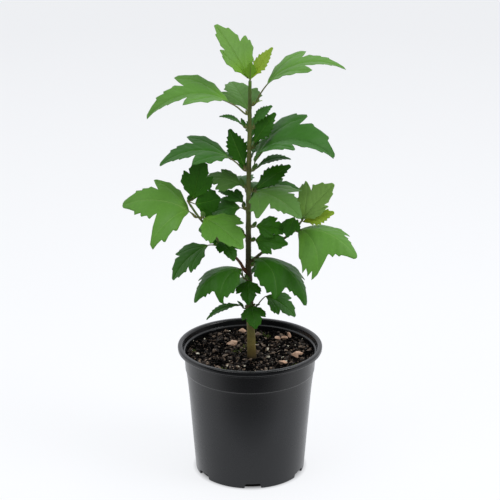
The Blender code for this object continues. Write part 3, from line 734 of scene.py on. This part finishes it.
QUILTING = 0.0055  # how far the skin rises between the veins
WAVES = 0.012  # height of the waves along a blade's edge
# A tooth's depth at most and by its pitch, and its shape (share of the pitch, share of the depth)
TOOTH_DEPTH = (0.045, 0.36)
TOOTH_SHAPE = ((0.40, 0.45), (0.76, 1.0), (0.88, 0.72))
PETIOLE_RADII = (0.0011, 0.0007)
PETIOLE_SAG = 0.06
PETIOLE_STEPS = 36
UNDER_RIB_TAPER = 0.86
LEAF_SEED = 23
SPUR_LENGTH = 0.0035
SPUR_RADIUS = 0.0014
SPUR_RISE = (-20, 35)
SPUR_SINK = 0.6
YOUNG_LEAVES = (1, 1, 2)
YOUNG_LENGTH = (0.009, 0.015)
YOUNG_RISE = (25, 60)
YOUNG_TURN = (35, 65)
YOUNG_ROLL = (-20, 20)
HEART_REACH = (0.25, 0.42)  # how far the heart's colour runs up older and young blades; its lighter lime is partly the leaves' own young green and partly painted light shining through the thin blade
# Upper side, under side and heart of the leaves of each tone. The tones are partly the leaves' own greens and
# partly painted light and shade: one light tone is painted light on a leaf turned from the lamps, and some
# dull and dark tones paint shade on leaves that lie in it
TONES = {
    "crown": ((96, 140, 54), (104, 140, 72), (104, 150, 10)),
    "pale": ((88, 137, 50), (98, 136, 68), (92, 142, 44)),
    "bright": ((118, 158, 74), (116, 152, 84), (120, 160, 62)),
    "fresh": ((86, 135, 48), (96, 132, 66), (94, 142, 42)),
    "mid": ((54, 105, 32), (76, 112, 52), (62, 114, 28)),
    "dark": ((44, 96, 12), (64, 102, 42), (52, 104, 8)),
    "deep": ((38, 90, 2), (56, 96, 24), (44, 98, 2)),
    "dull": ((82, 123, 54), (86, 122, 64), (80, 124, 48)),
    "spring": ((94, 146, 14), (104, 150, 36), (96, 148, 10)),
    "lime": ((132, 162, 46), (136, 160, 66), (146, 172, 26)),
}


# One leaf of the plan: its tone, its stalk's length and rise, then its blade's length, pitch and azimuth
Leaf = collections.namedtuple(
    "Leaf", "tone petiole rise blade pitch azimuth bend roll width fold curl form skew",
    defaults=(50, 0, 0.95, 10, 0.4, LOBED, 0))
# Each mass: its limb, its place there (height, or share of a shoot's length), and its large leaves
FOLIAGE = (
    ("crown_tip", "main_stem", 1.0,
     Leaf("crown", 0.005, 50, 0.066, 56, 160, bend=20, roll=-18, width=0.86, form=BROAD, skew=-0.2),
     Leaf("lime", 0.003, 75, 0.041, 53, 15, bend=10, roll=40, width=1.1, form=SLIM),
     Leaf("spring", 0.002, 60, 0.021, 76, 282, bend=15, width=1.7, form=SLIM)),
    ("upper_left", "main_stem", 0.421,
     Leaf("fresh", 0.027, 32, 0.090, -10, 188, bend=95, roll=-12, width=0.9, fold=16, curl=0.3)),
    ("upper_right", "main_stem", 0.431,
     Leaf("pale", 0.030, 51, 0.086, 10, 3, bend=85, roll=6, width=0.84, fold=9, curl=0.3)),
    ("upper_back", "main_stem", 0.420,
     Leaf("dull", 0.007, 42, 0.054, 22, 112, bend=30, form=BROAD)),
    ("collar_left", "main_stem", 0.405,
     Leaf("mid", 0.010, 30, 0.026, 20, 183, bend=60, roll=-10, width=1.3, form=SLIM)),
    ("collar_right", "main_stem", 0.404,
     Leaf("mid", 0.008, 56, 0.028, 42, 12, bend=50, roll=35, width=1.35, form=SLIM)),
    ("collar_low", "main_stem", 0.382,
     Leaf("dark", 0.009, 56, 0.041, 55, 0, bend=15, roll=60, width=1.35, form=SLIM),
     Leaf("mid", 0.009, 34, 0.022, 34, -22, bend=20, roll=10, width=1.2, form=SLIM)),
    ("mid_left", "main_stem", 0.357,
     Leaf("mid", 0.026, 36, 0.077, -5, 186, bend=85, roll=-14, width=0.9, fold=8, curl=0.3),
     Leaf("deep", 0.008, 48, 0.044, 68, 170, bend=10, roll=-70, width=1.4, form=SLIM)),
    ("mid_right", "main_stem", 0.357,
     Leaf("mid", 0.013, 58, 0.088, 7, -15, bend=120, roll=15, width=1.0, fold=22, form=BROAD, skew=0.1),
     Leaf("mid", 0.009, 20, 0.039, 15, 0, bend=70, roll=8, width=1.3, form=SLIM)),
    ("inner_left", "main_stem", 0.337,
     Leaf("dull", 0.009, 25, 0.043, 6, 171, bend=60, roll=-25, width=0.87, fold=5, curl=0.6, form=BROAD)),
    ("inner_left_low", "main_stem", 0.311,
     Leaf("mid", 0.011, 50, 0.033, 14, 150, roll=-10, width=0.9),
     Leaf("mid", 0.010, 20, 0.036, -14, 176, roll=-30, width=1.1, form=BROAD)),
    ("inner_right", "main_stem", 0.333,
     Leaf("deep", 0.009, 18, 0.046, 33, 10, bend=30, roll=35, width=1.4, form=SLIM),
     Leaf("deep", 0.011, -2, 0.049, -3, 12, bend=60, roll=12, width=0.7, fold=12, form=BROAD),
     # This leaf's dull tone is painted shade: the shadow that the leaves above cast on it
     Leaf("dull", 0.010, 8, 0.066, -15, -40, bend=60, roll=12, width=1.2, curl=0.6)),
    ("left_shoot_tip", "left_shoot", 1.0,
     Leaf("deep", 0.006, 50, 0.050, 76, 30, bend=10, roll=58, width=0.75, form=BROAD),
     Leaf("deep", 0.006, 0, 0.029, 8, 15, bend=20, roll=85, width=1.6, fold=5, form=BROAD)),
    ("left_shoot_outer", "left_shoot", 0.82,
     Leaf("fresh", 0.013, 32, 0.073, 6, 183, bend=90, roll=-35, width=1.24, fold=5, skew=0.28)),
    ("left_shoot_front", "left_shoot", 0.80,
     Leaf("fresh", 0.006, 20, 0.060, -24, 320, roll=15, curl=0.5, form=BROAD)),
    ("left_shoot_low", "left_shoot", 0.55,
     Leaf("dark", 0.012, -12, 0.031, -32, 303, form=BROAD)),
    ("left_shoot_hanging", "left_shoot", 0.42,
     Leaf("dark", 0.016, -1, 0.055, -43, 195, bend=60, roll=-15, width=0.88, curl=0.5, form=BROAD)),
    ("right_shoot_tip", "right_shoot", 1.0,
     # This leaf's light tone is painted light: the leaf is turned away from the lamps
     Leaf("bright", 0.005, 70, 0.053, 49, 0, bend=10, roll=50, width=0.9, form=BROAD, skew=0.3),
     Leaf("lime", 0.004, 20, 0.036, 20, -10, bend=20, roll=48, width=1.5, form=SLIM)),
    ("right_shoot_front", "right_shoot", 0.80,
     Leaf("fresh", 0.005, 5, 0.074, -16, -28, bend=90, roll=20, width=1.15, fold=-15, curl=0.6,
          form=CLAWED, skew=-0.3)),
    ("right_shoot_inner", "right_shoot", 0.90,
     Leaf("dark", 0.014, 62, 0.024, -58, 232, bend=20, width=1.15, form=BROAD)),
    ("lower_left", "main_stem", 0.231,
     Leaf("dark", 0.016, 54, 0.065, -29, 204, bend=110, roll=-15, fold=-15, curl=0.6, form=CLAWED, skew=0.1)),
    ("lower_right", "main_stem", 0.2465,
     Leaf("deep", 0.013, 51, 0.079, -33, -31, bend=110, roll=6, fold=-15, curl=0.6, form=CLAWED, skew=-0.1)),
    ("lower_front", "main_stem", 0.230,
     Leaf("deep", 0.007, 10, 0.031, -40, 268, width=1.0, form=BROAD)),
    ("foot_left", "main_stem", 0.195,
     Leaf("dark", 0.012, 24, 0.042, -20, 193, bend=65, roll=-10, width=0.85, form=SLIM)),
    ("foot_front", "main_stem", 0.199,
     Leaf("dark", 0.009, 15, 0.029, -42, 282, bend=60, roll=8, width=1.05, form=BROAD)),
    ("foot_right", "main_stem", 0.197,
     Leaf("dark", 0.024, 39, 0.040, -31, -18, roll=14, width=1.05, form=BROAD)),
    ("right_inner_high", "main_stem", 0.292,
     Leaf("dark", 0.009, 13, 0.037, -5, -14, roll=50, width=0.75, form=BROAD)),
    ("right_inner_low", "main_stem", 0.276,
     Leaf("dark", 0.009, 14, 0.040, 2, -26, bend=40, roll=60, width=0.8, form=BROAD)),
    ("left_inner_back", "main_stem", 0.280,
     Leaf("dull", 0.014, 12, 0.045, 0, 162, roll=-55, width=0.8, form=BROAD)),
    ("back_right_low", "main_stem", 0.234,
     Leaf("mid", 0.018, 15, 0.068, -20, 62, bend=60, width=0.85)),
    ("back_left_foot", "main_stem", 0.208,
     Leaf("mid", 0.016, 25, 0.060, -14, 118, width=0.85)),
    ("back_left", "main_stem", 0.330,
     Leaf("mid", 0.014, 20, 0.062, -10, 112, width=0.8)),
    ("back_right", "main_stem", 0.322,
     Leaf("mid", 0.014, 20, 0.060, -8, 72, width=0.8)),
    ("back_mid_right", "main_stem", 0.370,
     Leaf("mid", 0.012, 25, 0.058, -6, 66, width=0.75)),
    ("back_mid_left", "main_stem", 0.358,
     Leaf("mid", 0.012, 25, 0.055, -4, 122, width=0.7)),
    ("back_collar", "main_stem", 0.386,
     Leaf("mid", 0.009, 40, 0.038, 25, 80, bend=40, width=1.2, form=SLIM)),
)


def limb_place(limb, place):
    """The point, the radius and the upward direction of a limb where a mass leaves it."""
    if limb == "main_stem":
        height = STEM_TOP if place == 1.0 else place
        return (*stem_point(height), Vector((0, 0, 1)))
    path = shoot_path(limb)
    at = place * (len(path) - 1)
    first = min(int(at), len(path) - 2)
    along = (path[first + 1] - path[first]).normalized()
    radius = SHOOT_RADII[0] + (SHOOT_RADII[1] - SHOOT_RADII[0]) * place
    return path[first].lerp(path[first + 1], at - first), radius, along


def fork_of(limb, place, first):
    """Where a mass's stalks part, the limb's heart there, and the way its spur points."""
    point, radius, along = limb_place(limb, place)
    if place == 1.0:
        return point + along * (GAP + SPUR_LENGTH - SPUR_RADIUS * SPUR_SINK), point, along
    out = direction(first.azimuth, max(SPUR_RISE[0], min(SPUR_RISE[1], first.rise)))
    flat = (out - along * out.dot(along)).normalized()
    start = point + flat * (radius + GAP + SPUR_RADIUS * abs(out.dot(along)))
    return start + out * (SPUR_LENGTH - SPUR_RADIUS * SPUR_SINK), point, out


class Blade:
    """A leaf's surface: an arched midrib with two halves folded and curled about it."""

    def __init__(self, leaf, base):
        self.leaf = leaf
        self.base = base
        self.ahead = direction(leaf.azimuth, leaf.pitch)
        side = direction(leaf.azimuth + 90, 0)
        normal = self.ahead.cross(side)
        roll = math.radians(leaf.roll)
        self.side = math.cos(roll) * side + math.sin(roll) * normal
        self.normal = math.cos(roll) * normal - math.sin(roll) * side
        self.bend = math.radians(leaf.bend)
        self.radius = leaf.blade / (2 * math.sin(self.bend / 2))

    def point(self, along, across, raised=0.0):
        half, turn = self.bend / 2, self.bend * (along - 0.5)
        rib = (self.base + self.radius * (math.sin(turn) + math.sin(half)) * self.ahead
               + self.radius * (math.cos(turn) - math.cos(half)) * self.normal)
        up = math.cos(turn) * self.normal + math.sin(turn) * self.ahead
        fold = math.radians(self.leaf.fold)
        out = self.leaf.width * (across + self.leaf.skew * across ** 2 / LOBE_REACH)
        lift = abs(out) * math.sin(fold) - self.leaf.curl * out ** 2 + raised
        return rib + self.leaf.blade * (out * math.cos(fold) * self.side + lift * up)


def toothed_half(form, chance):
    """A form's half outline with its blunt teeth, which lean towards the tip."""
    half = [Vector(form[0])]
    for first, last, teeth in zip(form, form[1:], TEETH[form]):
        first, last = Vector(first), Vector(last)
        run = last - first
        out = Vector((-run.y, run.x)).normalized()
        for tooth in range(teeth):
            pitch = run.length / teeth
            deep = min(TOOTH_DEPTH[0], TOOTH_DEPTH[1] * pitch) * chance.uniform(0.7, 1.2)
            if last.y == 0.0:
                deep *= 0.6 - 0.45 * tooth / teeth
            for share, stand in TOOTH_SHAPE:
                at = tooth + share + chance.uniform(-0.04, 0.04)
                half.append(first + run * at / teeth + out * deep * stand)
            if tooth < teeth - 1:
                half.append(first + run * (tooth + 1) / teeth - out * deep * 0.1)
        if not teeth:
            half.append(first + run * 0.5 + out * run.length * 0.03)
        half.append(last)
    return half


def inside(points, outline):
    """Which points lie inside a closed outline."""
    x, y = points[:, 0], points[:, 1]
    held = np.zeros(len(points), bool)
    for (x0, y0), (x1, y1) in zip(outline, np.roll(outline, -1, axis=0)):
        if y0 == y1:
            continue
        crosses = ((y0 > y) != (y1 > y)) & (x < (x1 - x0) * (y - y0) / (y1 - y0) + x0)
        held ^= crosses
    return held


def distance_to(points, run):
    """How far each point is from a run of straight pieces."""
    least = np.full(len(points), 9.0)
    for first, last in zip(run, run[1:]):
        first, last = np.array(first), np.array(last)
        way = last - first
        share = np.clip(((points - first) @ way) / (way @ way), 0, 1)
        gap = np.linalg.norm(points - first - share[:, None] * way, axis=1)
        least = np.minimum(least, gap)
    return least


def vein_runs(form):
    """The midrib, the ribs of the side lobes and the thin side veins, each with its half width."""
    ribs = [(((0.0, 0.0), (0.97, 0.0)), RIB_HALF_WIDTH)]
    if form in LOBE_TIPS:
        x, y = LOBE_TIPS[form]
        ribs += [(((0.04, 0.0), (x * 0.30, side * y * 0.22), (x * 0.62, side * y * 0.58), (x, side * y)),
                  LOBE_RIB_HALF_WIDTH) for side in (1, -1)]
    thin = [((a, side * b), (c, side * d)) for (a, b), (c, d) in SIDE_VEINS[form] for side in (1, -1)]
    return ribs, thin


def spaced(run, spacing):
    """Points along a run of straight pieces."""
    found = []
    for first, last in zip(run, run[1:]):
        first, last = Vector(first), Vector(last)
        steps = max(1, round((last - first).length / spacing))
        found += [first.lerp(last, step / steps) for step in range(steps)]
    return found + [Vector(run[-1])]


def leaf_pattern(form, chance):
    """A flat leaf: points (along, across), faces, their kinds (0 blade, 2 rib) and the points' relief."""
    spacing = MESH_SPACING[form]
    right, left = toothed_half(form, chance), toothed_half(form, chance)
    outline = right + [Vector((x, -y)) for x, y in reversed(left[:-1])]
    border = np.array([tuple(point) for point in outline])
    ribs, thin = vein_runs(form)
    loose, edges = [], [(i, (i + 1) % len(outline)) for i in range(len(outline))]
    for number, (rib, half_width) in enumerate(ribs):
        path = spaced(rib, spacing)[3 if number else 2:-1]
        for offset in (-1, 0, 1):
            if form == YOUNG and offset:
                continue
            row = []
            for place, here in enumerate(path):
                way = (path[min(place + 1, len(path) - 1)] - path[max(place - 1, 0)]).normalized()
                width = half_width * (1 - RIB_TAPER * place / len(path))
                row.append(here + Vector((-way.y, way.x)) * offset * width)
            start = len(outline) + len(loose)
            loose += row
            edges += [(start + i, start + i + 1) for i in range(len(row) - 1)]
    near = np.array([tuple(point) for point in outline + loose])
    rows = []
    for line in range(int(1.1 / (spacing * 0.87))):
        y = -0.55 + line * spacing * 0.87
        rows += [(x * spacing + (line % 2) * spacing / 2, y) for x in range(int(1.05 / spacing))]
    filling = np.array(rows)
    filling += np.array([(chance.uniform(-0.12, 0.12), chance.uniform(-0.12, 0.12)) for _ in rows]) * spacing
    filling = filling[inside(filling, border)]
    clear = np.array([np.min(np.hypot(*(near - spot).T)) > 0.42 * spacing for spot in filling])
    clear &= distance_to(filling, [*map(tuple, outline), tuple(outline[0])]) > 0.35 * spacing
    flat = outline + loose + [Vector(spot) for spot in filling[clear]]
    points, _, faces, *_ = delaunay_2d_cdt(flat, edges, [list(range(len(outline)))], 1, 1e-6)
    spots = np.array([tuple(point) for point in points])
    middles = np.array([spots[list(face)].mean(axis=0) for face in faces])
    kinds = np.zeros(len(faces), int)
    for rib, half_width in ribs:
        share = np.clip(middles[:, 0] / rib[-1][0], 0, 1)
        kinds[distance_to(middles, rib) < half_width * (1 - RIB_TAPER * share) * 0.75] = 2
    grooves = np.zeros(len(spots))
    nearest = np.full(len(spots), 9.0)
    for runs, depth in (([rib for rib, _ in ribs], GROOVE), (thin, VEIN_GROOVE)):
        for run in runs:
            gap = distance_to(spots, run)
            nearest = np.minimum(nearest, gap)
            grooves -= depth * np.exp(-(gap / 0.012) ** 2)
    quilted = QUILTING * np.clip(nearest / 0.05, 0, 1) ** 0.8
    phase = chance.uniform(0, math.tau)
    across = np.abs(spots[:, 1]) / 0.45
    waves = WAVES * across ** 2 * np.sin(phase + 15 * spots[:, 0] + 2.0 * np.sign(spots[:, 1]))
    return spots, faces, kinds, grooves + quilted + waves


def leaf_finish(name, tone, heart):
    """Living leaf: satin skin over fine cells, a shade lighter towards its heart, partly as painted light
    shining through the blade.
    """
    made, shader, nodes, body = finish_of(name, tone, tone, (34.0, 420.0, 1500.0), 0.55, (0.25, 0.0003),
                                          specular=0.18)
    nodes.put((*[value * 0.72 for value in srgb(*tone)[:3]], 1.0), body.inputs["Other"])
    near_heart = nodes.add("ShaderNodeAttribute", attribute_name="heart").outputs["Fac"]
    nodes.put(nodes.mix(near_heart, body.outputs["Colour"], srgb(*heart)), shader.inputs["Base Color"])
    nodes.put(nodes.range(body.outputs["Patches"], 0.0, 1.0, 0.42, 0.54), shader.inputs["Roughness"])
    return made


def lifted(tone, share):
    """A tone moved a share of the way to a pale yellow green, as ribs are."""
    return tuple(value + (goal - value) * share for value, goal in zip(tone, (176, 196, 128)))


class LeafHeap(Heap):
    """Leaves of one tone that become one joined piece, with how near each point is to its leaf's heart."""

    def __init__(self):
        super().__init__()
        self.kinds, self.hearts = [], []

    def add_leaf(self, leaf, base, chance):
        spots, faces, kinds, raised = leaf_pattern(leaf.form, chance)
        surface = Blade(leaf, base)
        self.add([surface.point(*spot, up) for spot, up in zip(spots.tolist(), raised.tolist())], faces)
        self.kinds += list(kinds)
        reach = HEART_REACH[leaf.tone in ("crown", "lime")]
        self.hearts += [max(0.0, 1 - x / reach) for x, _ in spots]
        return surface


def stalk(leaf, surface, fork, heart_point):
    """A petiole from inside the limb to the blade, running on as the rib under it."""
    base = surface.base
    middle = fork.lerp(base, 0.5) + Vector((0, 0, PETIOLE_SAG * (base - fork).length))
    wide, thin = PETIOLE_RADII
    slender = min(1.0, 0.55 + leaf.blade / 0.15)
    under = []
    for share in (0.08, 0.2, 0.4, 0.6, 0.8, 0.93):
        radius = slender * thin * (1 - UNDER_RIB_TAPER * share)
        under.append(surface.point(share, 0.0, -GROOVE - (radius - 0.00005) / leaf.blade))
    path = smooth_path([heart_point.lerp(fork, 0.25), fork, middle, base, *under], PETIOLE_STEPS)
    radii = []
    for step in range(PETIOLE_STEPS + 1):
        share = step / PETIOLE_STEPS
        if share < 1 / 3:
            radius = wide * 1.25 + (thin - wide * 1.25) * min(1, share * 3) ** 0.5
        else:
            radius = thin * (1 - UNDER_RIB_TAPER * (share - 1 / 3) * 1.5)
        radii.append(slender * radius)
    return tube_mesh(path, radii, 8)


def kept_young(name, mass_leaves, fork):
    """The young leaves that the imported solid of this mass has, by the same seeded rule."""
    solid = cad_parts[name].data
    corners = np.array([tuple(vertex.co) for vertex in solid.vertices])
    chance = random.Random(f"{SEED} {name}")
    first = mass_leaves[0]
    kept = []
    for number in range(chance.choice(YOUNG_LEAVES)):
        side = 1 if number % 2 else -1
        leaf = Leaf("fresh", 0.0, 0, chance.uniform(*YOUNG_LENGTH), chance.uniform(*YOUNG_RISE),
                    first.azimuth + side * chance.uniform(*YOUNG_TURN), bend=30,
                    roll=chance.uniform(*YOUNG_ROLL), width=1.3, form=YOUNG)
        tip = np.array(tuple(Blade(leaf, fork).point(1.0, 0.0)))
        if np.min(np.linalg.norm(corners - tip, axis=1)) < 0.001:
            kept.append(leaf._replace(tone="lime" if first.tone in ("crown", "lime", "pale") else first.tone))
    return kept


def bud(spot, along, long):
    """A small pointed bud: one tapered tube."""
    way = along.normalized()
    path = [spot + way * long * share for share in (-0.2, 0.0, 0.25, 0.5, 0.75, 1.0)]
    return tube_mesh(path, [long * share for share in (0.10, 0.24, 0.34, 0.30, 0.17, 0.02)], 8)


chance = random.Random(LEAF_SEED)
tone_heaps = {tone: LeafHeap() for tone in TONES}
stalks, buds, stipules = Heap(), Heap(), Heap()
for name, limb, place, *leaves in FOLIAGE:
    fork, heart_point, out = fork_of(limb, place, leaves[0])
    for leaf in leaves:
        base = heart_point + direction(leaf.azimuth, leaf.rise) * leaf.petiole
        surface = tone_heaps[leaf.tone].add_leaf(leaf, base, chance)
        stalks.add(*stalk(leaf, surface, fork, heart_point))
    for leaf in kept_young(name, leaves, fork):
        surface = tone_heaps[leaf.tone].add_leaf(leaf, fork, chance)
        stalks.add(*stalk(leaf, surface, fork.lerp(heart_point, 0.3), heart_point))
    along = limb_place(limb, place)[2]
    side = out.cross(along).normalized() if place != 1.0 else Vector((0, 1, 0))
    heel = fork.lerp(heart_point, 0.35) + along * 0.0012
    buds.add(*bud(heel, along + out * 0.5, chance.uniform(0.0026, 0.0038)))
    for turn in (-1, 1):
        root = fork.lerp(heart_point, 0.55) + side * turn * 0.0012
        way = (along + side * turn * 0.7 + out * 0.6).normalized()
        long = chance.uniform(0.0032, 0.0055)
        path = [root, root + way * long * 0.5, root + (way + along * 0.2) * long]
        stipules.add(*tube_mesh(path, [0.00028, 0.00022, 0.00004], 5))

for tone, (upper, under, heart) in TONES.items():
    heap = tone_heaps[tone]
    finishes = [leaf_finish("leaf_" + tone, upper, heart),
                leaf_finish("leaf_" + tone + "_under", under, lifted(under, 0.2)),
                leaf_finish("leaf_" + tone + "_rib", lifted(upper, 0.16), lifted(heart, 0.2)),
                leaf_finish("leaf_" + tone + "_rib_under", lifted(under, 0.3), lifted(under, 0.4))]
    blades = add_piece("leaves_" + tone, heap.points, heap.faces, finishes, "leaf", heap.kinds, smooth=60)
    nearness = blades.data.attributes.new("heart", "FLOAT", "POINT")
    nearness.data.foreach_set("value", heap.hearts)
    thick = blades.modifiers.new("thickness", "SOLIDIFY")
    thick.thickness = BLADE_THICKNESS
    thick.offset = 0.0
    thick.material_offset = 1


def stalk_finish(name, tone, other):
    made, shader, nodes, body = finish_of(name, tone, other, (60.0, 900.0, 900.0), 0.9, (0.3, 0.0002),
                                          specular=0.4)
    nodes.put(nodes.range(body.outputs["Flecks"], 0.0, 1.0, 0.45, 0.6), shader.inputs["Roughness"])
    return made


petioles = stalks.piece("leaf_stalks", stalk_finish("leaf_stalk", (92, 112, 52), (100, 82, 50)), "leaf", 60)
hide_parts(*[name for name, *_ in FOLIAGE])
buds.piece("leaf_buds", stalk_finish("leaf_bud", (108, 128, 54), (120, 100, 60)), "leaf", 60)
stipules.piece("leaf_stipules", stalk_finish("leaf_stipule", (112, 132, 62), (126, 104, 66)), "leaf", 60)


# The studio
# The pot stands on a plain pale floor that runs on past the picture's edges, in soft light from all
# round with a broad lamp high on the left, and is seen from the photograph's place.

FLOOR_PALE = (113, 114, 116)
FLOOR_SHADY = (110, 111, 114)
# The floor glows in this colour, though it is no lamp: painted light
FLOOR_GLOW = (252, 253, 255)
FLOOR_STRENGTH = (0.80, 0.71)  # its glow round the pot and far off: painted light that lifts the pot's shadows off the floor
FLOOR_SHADE = (0.054, 0.067)  # the glow fades in between these distances from the pot's axis: a painted contact shadow round its foot
FRONT_DIM = (-0.13, -0.25)  # where the floor in front turns black in glossy rays only: a painted dark reflection on the pot's band and lip
CAMERA_PLACE = (0.0, -1.730, 0.870)
CAMERA_PITCH = 19.27
LENS = 118.08

mesh = bpy.data.meshes.new("floor")
mesh.from_pydata([(-9, -9, 0), (9, -9, 0), (9, 9, 0), (-9, 9, 0)], [], [(0, 1, 2, 3)])
floor = bpy.data.objects.new("floor", mesh)
bpy.context.scene.collection.objects.link(floor)
made, shader, nodes, paper = finish_of("floor_paper", FLOOR_PALE, FLOOR_SHADY, (3.0, 200.0), 0.4,
                                       roughness=0.85, specular=0.1, Emission_Strength=1.0)
spot, (_, ahead, _) = nodes.place()
# Seen in glossy rays, the floor in front is painted black and stops glowing: a painted dark reflection on the
# pot
mirrored = nodes.add("ShaderNodeLightPath").outputs["Is Glossy Ray"]
dimmed = nodes.math("MULTIPLY", mirrored, nodes.range(ahead, *FRONT_DIM, 0.0, 0.95))
nodes.put(nodes.mix(dimmed, paper.outputs["Colour"], (0.0, 0.0, 0.0, 1)), shader.inputs["Base Color"])
from_axis = nodes.add("ShaderNodeVectorMath", {0: spot}, operation="LENGTH").outputs["Value"]
# The glow is painted light; it fades out round the pot's foot as a painted contact shadow
full = nodes.range(from_axis, 0.2, 2.5, *FLOOR_STRENGTH)
lit = nodes.range(from_axis, *FLOOR_SHADE, 0.0, full)
glow = nodes.math("MULTIPLY", nodes.math("SUBTRACT", 1.0, dimmed), lit)
nodes.put(nodes.mix(glow, (0.0, 0.0, 0.0, 1), srgb(*FLOOR_GLOW)), shader.inputs["Emission Color"])
mesh.materials.append(made)

world = bpy.data.worlds.new("studio")
world.use_nodes = True
sky = Nodes(world.node_tree)
toward = sky.add("ShaderNodeTexCoord").outputs["Generated"]
_, depth, rise = sky.add("ShaderNodeSeparateXYZ", {0: toward}).outputs
walls = sky.mix(sky.range(depth, -0.9, 0.1), (0.42, 0.43, 0.45, 1), (0.98, 1.0, 1.04, 1))
mirrored = sky.add("ShaderNodeLightPath").outputs["Is Glossy Ray"]
in_front = sky.math("MULTIPLY", mirrored, sky.range(depth, 0.1, -0.4))
unlit = sky.math("MULTIPLY", in_front, sky.range(rise, 0.8, 0.45))
sky.put(sky.mix(unlit, walls, (0.03, 0.032, 0.036, 1)), world.node_tree.nodes["Background"].inputs["Color"])
bpy.context.scene.world = world


# Each lamp's place, width and power
for name, place, size, power in (("key", (-1.2, -1.0, 2.2), 1.6, 15), ("fill", (1.5, -0.6, 1.7), 1.2, 22)):
    light = bpy.data.lights.new(name, "AREA")
    light.shape = "DISK"
    light.size = size
    light.energy = power
    lamp = bpy.data.objects.new(name, light)
    lamp.location = place
    lamp.rotation_mode = "QUATERNION"
    lamp.rotation_quaternion = (Vector(place) - Vector((0, 0, 0.3))).to_track_quat("Z", "Y")
    bpy.context.scene.collection.objects.link(lamp)

lens = bpy.data.cameras.new("camera")
lens.lens = LENS
lens.sensor_width = 36
camera = bpy.data.objects.new("camera", lens)
camera.location = CAMERA_PLACE
camera.rotation_euler = (math.radians(90 - CAMERA_PITCH), 0, 0)
bpy.context.scene.collection.objects.link(camera)
bpy.context.scene.camera = camera
bpy.context.scene.view_settings.view_transform = "Standard"
